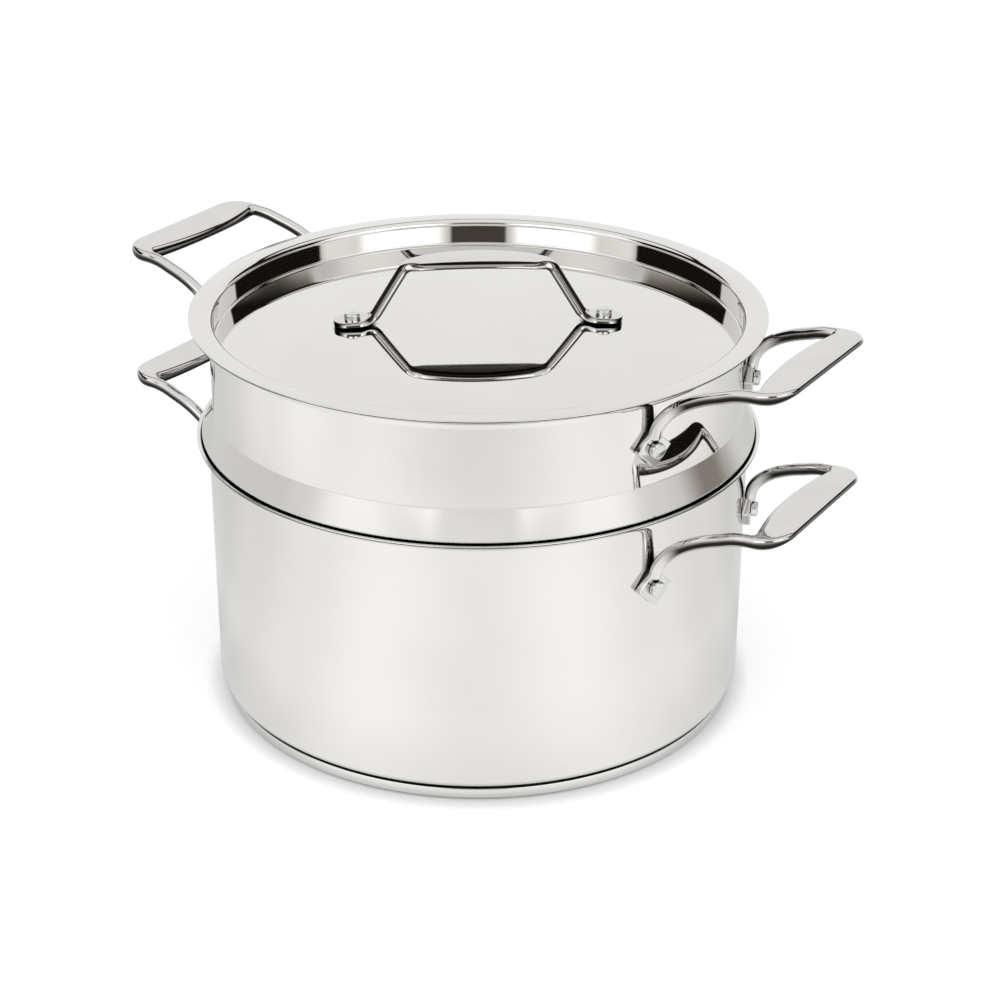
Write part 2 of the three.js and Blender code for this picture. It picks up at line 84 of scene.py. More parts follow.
# Insert
INSERT_RADIUS = POT_RADIUS - 2.4
INSERT_SHEET = 0.8
INSERT_RIM = POT_HEIGHT + 56.0
SKIRT_TOP = POT_HEIGHT + 13.7
SKIRT_BEND = 1.6
SKIRT_FOOT = POT_RADIUS + LIP_REACH - 2.2
SKIRT_FOOT_BEND = 1.3
SEAT_START = math.radians(15)
SEAT_END = math.radians(45)
NECK_DROP = 7.0
NECK_BEND = 8.0
BASKET_RADIUS = 121.23
BASKET_TAPER = 3.0
BASKET_CORNER = 9.0
BASKET_FLOOR = 18.0

# Perforations of the basket
HOLE_RADIUS = 3.25
HOLE_SEGMENTS = 24
HOLE_DEPTH = 10.0
WALL_ROWS = 7
WALL_ROW_START = 13.0  # basket floor to the first row
WALL_ROW_PITCH = 11.0
WALL_ROW_HOLES = 32
FLOOR_RINGS = 5
FLOOR_RING_PITCH = 20.0
FLOOR_RING_STEP = 6

# Lid
LID_SHEET = 0.8
FLANGE_LOW = INSERT_RIM + CLEARANCE
FLANGE_RADIUS = INSERT_RADIUS + LIP_REACH + 3.4
PLUG_RADIUS = INSERT_RADIUS - INSERT_SHEET - 0.6
LID_CORNER = 1.7
LID_SHOULDER = 2.2
LID_CROWN = 5.2
PANEL_RADIUS = PLUG_RADIUS - LID_CORNER
PANEL_EDGE = FLANGE_LOW + LID_SHEET - 12.4
PANEL_RINGS = 28

# Rivets
RIVET_SHANK = 4.6
RIVET_HOLE = RIVET_SHANK / 2 + CLEARANCE  # radius
RIVET_HEAD = 7.2
RIVET_HEAD_HEIGHT = 3.0
RIVET_HEAD_ROUND = 0.8
RIVET_CROWN = 0.25
RIVET_TAIL = 8.4
RIVET_TAIL_HEIGHT = 1.2
RIVET_TAIL_ROUND = 0.5
TAIL_GAP = 0.57
POT_RIVET_Z = POT_HEIGHT - 33.2
INSERT_RIVET_Z = INSERT_RIM - 24.3
RIVET_BAND = 3.2  # rings above and below each rivet hole keep its cut under the pad

# Side handles
FOOT_SPREAD = 45.2
PAD_SIZE = 12.6
PAD_THICKNESS = 3.2
PAD_HOLE_REACH = 3 * PAD_THICKNESS
PAD_TURN = math.radians(43)
PAD_CORNER = 0.9
PAD_EDGE = 0.4
ARM_RADIUS = 2.85
ARM_START = RIVET_HEAD / 2 + 2 * CLEARANCE
ARM_NOSE = 0.9
ARM_NOSE_TURNS = (0.0, 0.3, 0.6, 0.85)  # stations round the nose, in quarter turns
ARM_PULL_UP = 15.8
ARM_PULL_OUT = 24.4
ARM_STAND_OFF = 2.6
ARM_BACK = 0.6  # least gap between an arm and the wall
ARM_END = 10.0
ARM_STATIONS = 36
ARM_LEVELS = 0.8  # share of its length where an arm starts to level into the grip
HANDLE_REACH = 51.3
GRIP_RISE = 35.1
GRIP_TILT = math.radians(4.5)
GRIP_SPREAD = 41.3
GRIP_CORNER = 14.0
GRIP_HALF = GRIP_SPREAD + ARM_RADIUS
GRIP_WIDTH = 20.0
GRIP_END_WIDTH = 14.0
GRIP_EDGE = 2.6
GRIP_BELLY = 5.6
GRIP_INNER_EDGE = 3.7
GRIP_INNER_ROUND = 2.6  # width of the broad round along the top of the inner edge
GRIP_INNER_LOW = 1.0  # radius along the bottom of it
GRIP_OUTER_ROUND = 2.2  # width of the round along the top of the outer edge
GRIP_OUTER_DROP = 0.58  # share of the thickness that it takes
GRIP_OUTER_LOW = 0.35  # share that the round along the bottom takes
GRIP_FILLET = 1.6  # between an arm and the inner edge of the grip
FAN_STATIONS = 20
FAN_BLEND = (-0.1, 0.95)  # shares of the fan where a round arm starts and ends turning into the plate
PLATE_STATIONS = 24

# Lid handle
LID_HANDLE_TURN = math.radians(35)
LID_FOOT_SPREAD = 57.5
TAB_RADIUS = 6.5
TAB_OFFSET = 2.0
TAB_THICKNESS = 2.6
TAB_HOLE_REACH = 2 * TAB_THICKNESS
TAB_SQUARE = 10.0
TAB_TIP = 24.0
TAB_REACH = 0.995  # share of the tab's radius at its end ring
LID_HANDLE_RISE = 32.6
LID_GRIP_ARCH = 2.2
LID_GRIP_HALF = 33.0
LID_GRIP_WIDTH = 17.0
LID_GRIP_END_WIDTH = 9.0
LID_GRIP_THICKNESS = 4.4
LID_GRIP_SQUARE = 7.0
LID_GRIP_TOP_SQUARE = 30.0
LID_GRIP_BEVEL = 0.9  # share of its width where the bevels along its top begin
LID_GRIP_BEVEL_SLOPE = math.tan(math.radians(52.5))
LID_GRIP_LOW = 0.3  # share of its belly that the middle of its underside lies lower
LID_GRIP_CROWN = 0.2  # how far its top falls from the middle to the edges
LID_GRIP_BELLY = 1.0  # how far its underside rises from the middle to the edges
LID_LEG_FOOT = 48.0
LID_BAR = 5.0
LID_BAR_BEND = 7.0
LID_BEND_STEPS = 3 * BEND_STEPS
LID_TAB_BLEND = (LID_LEG_FOOT - 1, LID_LEG_FOOT + 6)  # from the round bar to the flat tab
LID_GRIP_BLEND = (LID_GRIP_HALF + 1, LID_GRIP_HALF - 8)  # from the round bar to the full grip
LID_STATION_STEP = 0.7
ARCH_STEPS = 40

# How satin surfaces face: parts of their normals
SATIN_INWARD = -0.2
SATIN_UP = 0.3
SATIN_CAP_DOWN = -0.95
SATIN_LID_DOWN = -0.5

# Camera
CAMERA_SENSOR = 36
CAMERA_PLACE = (0.5146, -0.8124, 0.5518)
CAMERA_TILT = 64.161
CAMERA_TURN = 32.35
CAMERA_LENS = 81.10
CAMERA_SHIFT = (0.02155, 0.0041)


# Sections of turned pieces: lists of (radius, height)

def arc(centre, radius, start, end, steps=BEND_STEPS):
    angles = [start + (end - start) * i / steps for i in range(steps + 1)]
    return [(centre[0] + radius * math.cos(a), centre[1] + radius * math.sin(a)) for a in angles]


def run(start, end, *between):
    """The straight run from start to end, without its ends: support points, and given heights."""
    length = math.dist(start, end)
    shares = {SUPPORT / length, 1 - SUPPORT / length}
    shares |= {(height - start[1]) / (end[1] - start[1]) for height in between}
    return [tuple(Vector(start).lerp(Vector(end), share)) for share in sorted(shares)]


def bent(before, corner, after, radius, steps=BEND_STEPS):
    """The arc that rounds the corner between two straight runs."""
    corner = Vector(corner)
    back = (Vector(before) - corner).normalized()
    on = (Vector(after) - corner).normalized()
    half = back.angle(on) / 2
    centre = corner + (back + on).normalized() * (radius / math.sin(half))
    first = corner + back * (radius / math.tan(half)) - centre
    last = corner + on * (radius / math.tan(half)) - centre
    start = math.atan2(first.y, first.x)
    turn = (math.atan2(last.y, last.x) - start + math.pi) % (2 * math.pi) - math.pi
    return arc(centre, radius, start, start + turn, steps)


def joined(*lines):
    """One line of several, with straight runs between them supported."""
    whole = list(lines[0])
    for line in lines[1:]:
        if math.dist(whole[-1], line[0]) > LONG_RUN:
            whole += run(whole[-1], line[0])
        whole += line
    return whole


def moved_left(line, distance):
    """The line moved to its left, with mitred corners."""
    normals = [Vector((a[1] - b[1], b[0] - a[0])).normalized() for a, b in zip(line, line[1:])]
    points = []
    for i, point in enumerate(line):
        before = normals[max(i - 1, 0)]
        after = normals[min(i, len(normals) - 1)]
        points.append(tuple(Vector(point) + (before + after) * distance / (1 + before.dot(after))))
    return points


def sheet_section(line, sheet):
    """The section of a sheet whose outer side is the line from the axis, with its free edge rounded."""
    along = (Vector(line[-1]) - Vector(line[-2])).normalized()
    outer = [point for point in line if math.dist(point, line[-1]) > EDGE_TAKEN * sheet]
    outer.append(tuple(Vector(line[-1]) - along * sheet / 2))
    inner = moved_left(outer, sheet)
    inner[0] = (0.0, inner[0][1])
    middle = (Vector(outer[-1]) + Vector(inner[-1])) / 2
    start = math.atan2(along.y, along.x) - QUARTER
    edge = arc(middle, sheet / 2, start, start + math.pi, EDGE_STEPS)
    return [*outer, *edge[1:-1], *reversed(inner)]


# Meshes

def to_object(name, bm):
    bmesh.ops.recalc_face_normals(bm, faces=bm.faces)
    bmesh.ops.scale(bm, vec=(MM, MM, MM), verts=bm.verts)
    mesh = bpy.data.meshes.new(name)
    bm.to_mesh(mesh)
    bm.free()
    piece = bpy.data.objects.new(name, mesh)
    bpy.context.collection.objects.link(piece)
    return piece


def turned(bm, section, segments, place):
    """Turns a section, whose ends lie on the axis, about Z."""
    angles = [2 * math.pi * i / segments for i in range(segments)]
    rings = []
    for radius, height in section:
        if radius < TINY:
            rings.append([bm.verts.new(place @ Vector((0, 0, height)))] * segments)
            continue
        spots = [Vector((radius * math.cos(a), radius * math.sin(a), height)) for a in angles]
        rings.append([bm.verts.new(place @ spot) for spot in spots])
    skin(bm, rings)


def skin(bm, rings):
    """Faces between closed rings of the same number of vertices."""
    for low, high in zip(rings, rings[1:]):
        for i in range(len(low)):
            j = (i + 1) % len(low)
            corners = dict.fromkeys((low[i], low[j], high[j], high[i]))
            if len(corners) > 2:
                bm.faces.new(corners)


def mirrored_loft(name, half, axis):
    """A skin through half a piece's rings and their images mirrored along an axis, with flat ends."""
    flip = Matrix.Scale(-1, 3, axis)
    rings = half + [[flip @ point for point in ring] for ring in reversed(half[:-1])]
    bm = bmesh.new()
    verts = [[bm.verts.new(point) for point in ring] for ring in rings]
    skin(bm, verts)
    bm.faces.new(verts[0])
    bm.faces.new(verts[-1])
    return to_object(name, bm)


def carve(piece, tool, operation):
    """Joins the tool to the piece, or cuts it from it, and removes the tool."""
    modifier = piece.modifiers.new("carve", "BOOLEAN")
    modifier.operation = operation
    modifier.solver = "EXACT"
    modifier.object = tool
    evaluated = piece.evaluated_get(bpy.context.evaluated_depsgraph_get())
    mesh = bpy.data.meshes.new_from_object(evaluated)
    piece.modifiers.clear()
    piece.data = mesh
    mesh.name = piece.name
    bpy.data.objects.remove(tool)


def punch(radius, reach):
    """The section of a round tool that cuts a hole."""
    return [(0, -reach), (radius, -reach), (radius, reach), (0, reach)]


def drill(piece, places, reach):
    """Cuts rivet holes at the places."""
    bm = bmesh.new()
    for place in places:
        turned(bm, punch(RIVET_HOLE, reach), RIVET_SEGMENTS, place)
    carve(piece, to_object("rivet_holes", bm), "DIFFERENCE")


# Pot

def lip_roll(sheet):
    """How far the middle of the lip's rolled edge lies out from the wall and down from the top."""
    out = LIP_REACH - sheet / 2 + (LIP_ROLL + sheet / 2) * math.cos(LIP_ROLL_END)
    return out, sheet + LIP_ROLL


def lip_start(top, sheet):
    out, down = lip_roll(sheet)
    straight = out - LIP_ROLL * math.cos(LIP_ANGLE) - LIP_BEND * (1 - math.cos(LIP_ANGLE))
    rise = LIP_BEND * math.sin(LIP_ANGLE) + straight / math.tan(LIP_ANGLE)
    return top - down + LIP_ROLL * math.sin(LIP_ANGLE) - rise


def lip_line(wall_radius, top, sheet):
    out, down = lip_roll(sheet)
    bend = arc((wall_radius + LIP_BEND, lip_start(top, sheet)), LIP_BEND, math.pi, math.pi - LIP_ANGLE)
    roll = arc((wall_radius + out, top - down), LIP_ROLL, math.pi - LIP_ANGLE, math.pi - LIP_ROLL_END)
    on = Vector((math.sin(LIP_ROLL_END), math.cos(LIP_ROLL_END)))
    return [*bend, *roll, tuple(Vector(roll[-1]) + on * sheet / 2)]


def drilled_wall(low, high, rivet_z):
    """A straight wall with rings that fence its rivet holes."""
    return run(low, high, rivet_z - RIVET_BAND, rivet_z + RIVET_BAND)


def pot_section():
    corner = arc((POT_RADIUS - POT_CORNER, BASE_HEIGHT + POT_CORNER), POT_CORNER, -QUARTER, 0)
    lip = lip_line(POT_RADIUS, POT_HEIGHT, POT_SHEET)
    wall = drilled_wall(corner[-1], lip[0], POT_RIVET_Z)
    return sheet_section([*joined([(0, BASE_HEIGHT)], corner), *wall, *lip], POT_SHEET)


def cap_section():
    corner = arc((CAP_RADIUS - CAP_CORNER, CAP_CORNER), CAP_CORNER, -QUARTER, 0)
    top = (CAP_RADIUS, BASE_HEIGHT - BASE_SEAM)
    return sheet_section(joined([(0, 0)], corner, [top]), CAP_SHEET)


# Insert

def insert_section():
    floor_radius = BASKET_RADIUS - BASKET_TAPER
    centre = (POT_RADIUS + LIP_BEND, lip_start(POT_HEIGHT, POT_SHEET))
    seat_radius = LIP_BEND + POT_SHEET + CLEARANCE
    seat = arc(centre, seat_radius, math.pi - SEAT_START, math.pi - SEAT_END)
    foot = (SKIRT_FOOT, seat[-1][1] + (SKIRT_FOOT - seat[-1][0]) / math.tan(SEAT_END))
    neck = (BASKET_RADIUS, centre[1] - NECK_DROP)
    base = (floor_radius, BASKET_FLOOR)
    top = (INSERT_RADIUS, SKIRT_TOP)
    lip = lip_line(INSERT_RADIUS, INSERT_RIM, INSERT_SHEET)
    skirt_top = bent(foot, top, lip[0], SKIRT_BEND)
    wall = drilled_wall(skirt_top[-1], lip[0], INSERT_RIVET_Z)
    lower = joined(
        [(0, BASKET_FLOOR)],
        bent((0, BASKET_FLOOR), base, neck, BASKET_CORNER),
        bent(base, neck, seat[0], NECK_BEND),
        seat,
        bent(seat[-1], foot, top, SKIRT_FOOT_BEND),
        skirt_top,
    )
    return sheet_section([*lower, *wall, *lip], INSERT_SHEET)


def perforations():
    """One tool with a round punch for each hole of the basket."""
    bm = bmesh.new()
    hole = punch(HOLE_RADIUS, HOLE_DEPTH / 2)

    def punch_ring(count, start, place):
        for i in range(count):
            turn = Matrix.Rotation(2 * math.pi * (i + start) / count, 4, "Z")
            turned(bm, hole, HOLE_SEGMENTS, turn @ place)

    for ring in range(FLOOR_RINGS + 1):
        out = Matrix.Translation((ring * FLOOR_RING_PITCH, 0, BASKET_FLOOR))
        punch_ring(max(ring * FLOOR_RING_STEP, 1), 0, out)
    level = Matrix.Rotation(QUARTER, 4, "Y")
    for row in range(WALL_ROWS):
        height = BASKET_FLOOR + WALL_ROW_START + row * WALL_ROW_PITCH
        out = Matrix.Translation((BASKET_RADIUS, 0, height))
        punch_ring(WALL_ROW_HOLES, (row + 1) % 2 / 2, out @ level)
    return to_object("perforations", bm)


# Lid

def panel_top(radius):
    return PANEL_EDGE + LID_CROWN * (1 - (radius / PANEL_RADIUS) ** 2)


def lid_section():
    edge_slope = math.atan(2 * LID_CROWN / PANEL_RADIUS)
    corner_centre = (PANEL_RADIUS, PANEL_EDGE - LID_SHEET + LID_CORNER)
    corner = arc(corner_centre, LID_CORNER, -QUARTER - edge_slope, 0)
    reach = corner[0][0] - SUPPORT
    radii = [reach * i / (PANEL_RINGS - 1) for i in range(PANEL_RINGS)]
    panel = [(radius, panel_top(radius) - LID_SHEET) for radius in radii]
    shoulder_centre = (PLUG_RADIUS + LID_SHOULDER, FLANGE_LOW - LID_SHOULDER)
    shoulder = arc(shoulder_centre, LID_SHOULDER, math.pi, QUARTER)
    line = joined([*panel, *corner], shoulder, [(FLANGE_RADIUS, FLANGE_LOW)])
    return sheet_section(line, LID_SHEET)


# Rivets stand on Z = 0, the outside of the sheet that they pass through.

def rivet_section(sheet, plate, tail_gap):
    seat = CLEARANCE + plate + CLEARANCE
    top = seat + RIVET_HEAD_HEIGHT
    tail = -sheet - tail_gap
    low = tail - RIVET_TAIL_HEIGHT
    head, back, shank = RIVET_HEAD / 2, RIVET_TAIL / 2, RIVET_SHANK / 2
    tail_edge = (back - RIVET_TAIL_ROUND, low + RIVET_TAIL_ROUND)
    flat = head - RIVET_HEAD_ROUND
    crown = [flat * (1 - i / EDGE_STEPS) for i in range(1, EDGE_STEPS + 1)]
    shoulder = top - RIVET_CROWN - RIVET_HEAD_ROUND
    return [
        (0, low),
        (back - RIVET_TAIL_ROUND - SUPPORT, low),
        *arc(tail_edge, RIVET_TAIL_ROUND, -QUARTER, 0, EDGE_STEPS),
        (back, tail),
        (shank, tail),
        (shank, seat),
        (head, seat),
        *arc((flat, shoulder), RIVET_HEAD_ROUND, 0, QUARTER, EDGE_STEPS),
        *[(radius, top - RIVET_CROWN * (radius / flat) ** 2) for radius in crown],
    ]


def wall_place(wall_radius, side, rivet_z):
    """Stands a piece out from the wall, at a foot of the handle on the +X side."""
    out = Matrix(((0, 0, 1, wall_radius), (1, 0, 0, 0), (0, 1, 0, rivet_z), (0, 0, 0, 1)))
    angle = side * math.asin(FOOT_SPREAD / wall_radius)
    return Matrix.Rotation(angle, 4, "Z") @ out


def wall_places(wall_radius, rivet_z):
    """Where the four rivets of a vessel stand."""
    feet = [wall_place(wall_radius, side, rivet_z) for side in (-1, 1)]
    return [Matrix.Rotation(turn, 4, "Z") @ foot for turn in (0, math.pi) for foot in feet]


# Lofted sections

SHARES = (0.12, 0.24, 0.36, 0.48, 0.6, 0.7, 0.78, 0.85, 0.9, 0.94, 0.966, 0.982, 0.992, 0.998, 1.0)
ACROSS = (*(-share for share in reversed(SHARES)), 0.0, *SHARES)


def smooth(low, high, value):
    share = min(max((value - low) / (high - low), 0.0), 1.0)
    return share * share * (3 - 2 * share)


def mix(a, b, share):
    return a + (b - a) * share


def section_ring(centre, across, up, half_width, top, low, powers):
    """A ring in the plane of across and up. top and low give its reach at each share of its width."""
    def height(share, power):
        return max(1 - abs(share) ** power, 0.0) ** (1 / power)

    upper = [centre + across * half_width * s + up * top(s) * height(s, powers[0]) for s in ACROSS]
    lower = [centre + across * half_width * s - up * low(s) * height(s, powers[1]) for s in ACROSS[1:-1]]
    return [*upper, *reversed(lower)]


# Side handles, made at the +X side. Places on a grip are measured inside its outer edge.

def grip_top(inside, rivet_z):
    return rivet_z + GRIP_RISE - inside * math.tan(GRIP_TILT)


def grip_thickness(inside):
    share = 1 - inside / (GRIP_WIDTH / 2)
    lean = (GRIP_EDGE - GRIP_INNER_EDGE) / 2
    bow = (GRIP_EDGE + GRIP_INNER_EDGE) / 2 - GRIP_BELLY
    return GRIP_BELLY + lean * share + bow * share * share


def grip_width(y):
    return mix(GRIP_WIDTH, GRIP_END_WIDTH, (y / GRIP_HALF) ** 2)


def arm_rings(wall_radius, rivet_z, last_x):
    """Round rings up an arm of the +Y foot, to where its middle reaches last_x."""
    angle = math.asin(FOOT_SPREAD / wall_radius)
    foot_radius = wall_radius + ARM_STAND_OFF
    foot = Vector((foot_radius * math.cos(angle), foot_radius * math.sin(angle), rivet_z + ARM_START))
    edge_x = wall_radius + HANDLE_REACH
    end = Vector((edge_x - ARM_END, GRIP_SPREAD, grip_top(ARM_END, rivet_z) - ARM_RADIUS))
    rise = foot + Vector((0, 0, ARM_PULL_UP))
    level = end - Vector((1, 0, math.tan(GRIP_TILT))) * ARM_PULL_OUT

    def place(t):
        s = 1 - t
        return foot * s ** 3 + rise * 3 * s * s * t + level * 3 * s * t * t + end * t ** 3

    last = 1.0
    while place(last).x > last_x:
        last -= SMALL_STEP

    def centre(t):
        spot = place(t)
        spot.y = mix(foot.y, GRIP_SPREAD, t / last)
        plane = grip_top(edge_x - spot.x, rivet_z) - ARM_RADIUS
        spot.z = mix(spot.z, plane, smooth(ARM_LEVELS * last, last, t))
        return spot

    rings = []
    for i in range(ARM_STATIONS):
        t = last * i / ARM_STATIONS
        along = (centre(t + SMALL_STEP) - centre(t)).normalized()
        across = (Vector((0, 1, 0)) - along * along.y).normalized()
        up = along.cross(across)
        if i > 0:
            rings.append(round_ring(centre(t), across, up, ARM_RADIUS))
            continue
        for turn in ARM_NOSE_TURNS:
            radius = ARM_RADIUS - ARM_NOSE * (1 - math.sin(turn * QUARTER))
            back = ARM_NOSE * (1 - math.cos(turn * QUARTER))
            rings.append(round_ring(centre(t) + along * back, across, up, radius))
    return [[off_wall(point, wall_radius + ARM_BACK) for point in ring] for ring in rings]


def round_ring(centre, across, up, radius):
    return section_ring(centre, across, up, radius, lambda s: radius, lambda s: radius, (ROUND, ROUND))


def off_wall(point, least):
    scale = max(least / math.hypot(point.x, point.y), 1.0)
    return Vector((point.x * scale, point.y * scale, point.z))


def rounding(gap, reach, drop):
    """How far a rounded edge lies below its face, at a gap from its end."""
    away = min(max(1 - gap / reach, 0.0), 1.0)
    return drop * (1 - math.sqrt(1 - away * away))


def grip_ring(inner, outer, edge_x, rivet_z, share):
    """A ring of the grip between two points of its plan; share goes from a round arm to the plate."""
    inner, outer = Vector(inner), Vector(outer)
    width = (outer - inner).length
    inner_drop = grip_thickness(edge_x - inner.x) - GRIP_INNER_LOW
    edge = grip_thickness(edge_x - outer.x)
    upper, lower = [], []
    for s in ACROSS:
        spot = inner.lerp(outer, (1 + s) / 2)
        inside = edge_x - spot.x
        gap_in, gap_out = width * (1 + s) / 2, width * (1 - s) / 2
        top = rounding(gap_in, GRIP_INNER_ROUND, inner_drop)
        top += rounding(gap_out, GRIP_OUTER_ROUND, GRIP_OUTER_DROP * edge)
        low = grip_thickness(inside) - rounding(gap_in, GRIP_INNER_LOW, GRIP_INNER_LOW)
        low -= rounding(gap_out, GRIP_OUTER_LOW * edge, GRIP_OUTER_LOW * edge)
        bar = ARM_RADIUS * math.sqrt(1 - s * s)
        height = grip_top(inside, rivet_z)
        upper.append(Vector((*spot, height - mix(ARM_RADIUS - bar, top, share))))
        lower.append(Vector((*spot, height - mix(ARM_RADIUS + bar, low, share))))
    return [*upper, *reversed(lower[1:-1])]


def fan_outer(centre, along, edge_x):
    """Where a line from centre meets the outer edge of the grip, round its corner."""
    reach = (GRIP_HALF - centre.y) / max(along.y, TINY)
    corner = Vector((edge_x - GRIP_CORNER, GRIP_HALF - GRIP_CORNER))
    if centre.x + along.x * reach > corner.x:
        gap = centre - corner
        half = gap.dot(along)
        reach = math.sqrt(half * half - gap.length_squared + GRIP_CORNER ** 2) - half
    return (min(centre.x + along.x * reach, edge_x), centre.y + along.y * reach)


def plate_outer(y, edge_x):
    """The outer edge of the plate at a place along it, round its corner."""
    past = max(y - (GRIP_HALF - GRIP_CORNER), 0.0)
    return (edge_x - GRIP_CORNER + math.sqrt(GRIP_CORNER ** 2 - past ** 2), y)


def half_handle(wall_radius, rivet_z):
    """Rings from the +Y foot to the middle of the grip."""
    edge_x = wall_radius + HANDLE_REACH
    centre_y = GRIP_SPREAD - ARM_RADIUS - GRIP_FILLET
    centre = Vector((edge_x - grip_width(centre_y) - GRIP_FILLET, centre_y))
    rings = arm_rings(wall_radius, rivet_z, centre.x)
    for i in range(FAN_STATIONS):
        angle = QUARTER * (1 - i / FAN_STATIONS)
        along = Vector((math.cos(angle), math.sin(angle)))
        inner = centre + along * GRIP_FILLET
        share = smooth(*FAN_BLEND, i / FAN_STATIONS)
        rings.append(grip_ring(inner, fan_outer(centre, along, edge_x), edge_x, rivet_z, share))
    for i in range(PLATE_STATIONS + 1):
        y = centre_y * (1 - i / PLATE_STATIONS)
        inner = (edge_x - grip_width(y), y)
        rings.append(grip_ring(inner, plate_outer(y, edge_x), edge_x, rivet_z, 1.0))
    return rings


def pads(wall_radius, rivet_z):
    """The two square pads of a handle, each round its rivet hole and seated on the wall."""
    bm = bmesh.new()
    half = PAD_SIZE / 2
    flat = half - PAD_CORNER
    seat = wall_radius + CLEARANCE
    front = CLEARANCE + PAD_THICKNESS
    outline = []
    for corner in range(4):
        turn = corner * QUARTER
        spot = Matrix.Rotation(turn, 2) @ Vector((flat, flat))
        outline += [Vector(point) for point in arc(spot, PAD_CORNER, turn, turn + QUARTER, EDGE_STEPS)]
    hole = [point.normalized() * RIVET_HOLE for point in outline]
    section = [(0, None), (0, front - PAD_EDGE - SUPPORT)]  # inset and depth; None is on the wall
    section += arc((PAD_EDGE, front - PAD_EDGE), PAD_EDGE, math.pi, QUARTER, EDGE_STEPS)
    section.append((PAD_EDGE + SUPPORT, front))
    lines = [([point * (1 - inset / half) for point in outline], depth) for inset, depth in section]
    lines += [(hole, front), (hole, None)]
    for side in (-1, 1):
        tilt = Matrix.Rotation(side * PAD_TURN, 2)
        place = wall_place(wall_radius, side, rivet_z)
        rings = []
        for points, depth in lines:
            ring = []
            for spot in (tilt @ point for point in points):
                rise = math.sqrt(seat ** 2 - spot.x ** 2) - wall_radius if depth is None else depth
                ring.append(bm.verts.new(place @ Vector((*spot, rise))))
            rings.append(ring)
        skin(bm, [*rings, rings[0]])
    return to_object("pads", bm)


def side_handle(name, wall_radius, rivet_z, turn):
    piece = mirrored_loft(name, half_handle(wall_radius, rivet_z), (0, 1, 0))
    carve(piece, pads(wall_radius, rivet_z), "UNION")
    piece.data.transform(Matrix.Rotation(turn, 4, "Z"))
    return piece


# Lid handle, made along X

LID_FOOT = panel_top(LID_FOOT_SPREAD) + CLEARANCE
LID_GRIP_TOP = LID_FOOT - CLEARANCE + LID_HANDLE_RISE


def lid_handle_line():
    """The middle line of half the handle, from the tip of its tab to the middle of the arched grip."""
    tip = (LID_FOOT_SPREAD + TAB_OFFSET + TAB_RADIUS, LID_FOOT + TAB_THICKNESS / 2)
    knee = (LID_LEG_FOOT, LID_FOOT + LID_BAR / 2)
    crown = LID_GRIP_TOP - LID_GRIP_THICKNESS / 2
    slope = 2 * LID_GRIP_ARCH / LID_GRIP_HALF
    shoulder = (LID_GRIP_HALF, crown - LID_GRIP_ARCH)
    tangent = (0.0, shoulder[1] + slope * LID_GRIP_HALF)
    bend = bent(knee, shoulder, tangent, LID_BAR_BEND, LID_BEND_STEPS)
    start_x, start_z = bend[-1]
    drop = start_z + slope * start_x / 2 - crown
    arch = []
    for i in range(1, ARCH_STEPS + 1):
        x = start_x * (1 - i / ARCH_STEPS)
        arch.append((x, crown - slope * x * x / (2 * start_x)))
    line = [
        tip,
        *bent(tip, knee, shoulder, LID_BAR_BEND, LID_BEND_STEPS),
        *[(x, z - drop) for x, z in bend],
        *arch,
    ]
    return [Vector(point) for point in line]


def resampled(line, step):
    """Points at even steps along a line."""
    points = [line[0]]
    for a, b in zip(line, line[1:]):
        pieces = max(round((b - a).length / step), 1)
        points += [a.lerp(b, (i + 1) / pieces) for i in range(pieces)]
    return points


def lid_handle_rings():
    line = resampled(lid_handle_line(), LID_STATION_STEP)
    tab_middle = LID_FOOT_SPREAD + TAB_OFFSET
    bar = LID_BAR / 2
    rings = []
    for i, spot in enumerate(line):
        before, after = line[max(i - 1, 0)], line[min(i + 1, len(line) - 1)]
        along = (before - after).normalized()
        x = spot.x
        crown = belly = bevel = 0.0
        if spot.y < LID_FOOT + LID_HANDLE_RISE / 2:
            share = smooth(*LID_TAB_BLEND, x)
            reach = min(max((x - tab_middle) / TAB_RADIUS, 0.0), TAB_REACH)
            width = mix(bar, TAB_RADIUS, share) * math.sqrt(1 - reach * reach)
            tip = (1 - reach ** TAB_TIP) ** (1 / TAB_TIP)
            thick = mix(bar, TAB_THICKNESS / 2, share) * tip
            powers = [mix(ROUND, TAB_SQUARE, share)] * 2
        else:
            share = smooth(*LID_GRIP_BLEND, x)
            full = mix(LID_GRIP_WIDTH, LID_GRIP_END_WIDTH, (x / LID_GRIP_HALF) ** 2)
            width = mix(bar, full / 2, share)
            thick = mix(bar, LID_GRIP_THICKNESS / 2, share)
            powers = (mix(ROUND, LID_GRIP_TOP_SQUARE, share), mix(ROUND, LID_GRIP_SQUARE, share))
            crown, belly, bevel = LID_GRIP_CROWN * share, LID_GRIP_BELLY * share, share
        up = Vector((-along.y, 0, along.x))
        centre = Vector((x, 0, spot.y))

        def top(s):
            past = max(abs(s) - LID_GRIP_BEVEL, 0.0) * width
            return thick - crown * s * s - bevel * LID_GRIP_BEVEL_SLOPE * past

        def low(s):
            return thick + belly * (LID_GRIP_LOW - s * s)

        ring = section_ring(centre, Vector((0, 1, 0)), up, width, top, low, powers)
        rings.append([above_panel(point) for point in ring])
    return rings


def above_panel(point):
    least = panel_top(math.hypot(point.x, point.y)) + CLEARANCE
    return Vector((point.x, point.y, max(point.z, least)))


def lid_places(height, turn):
    """Where the right and left rivets of the lid stand."""
    spots = [Matrix.Translation((side * LID_FOOT_SPREAD, 0, height)) for side in (1, -1)]
    return [Matrix.Rotation(turn, 4, "Z") @ spot for spot in spots]


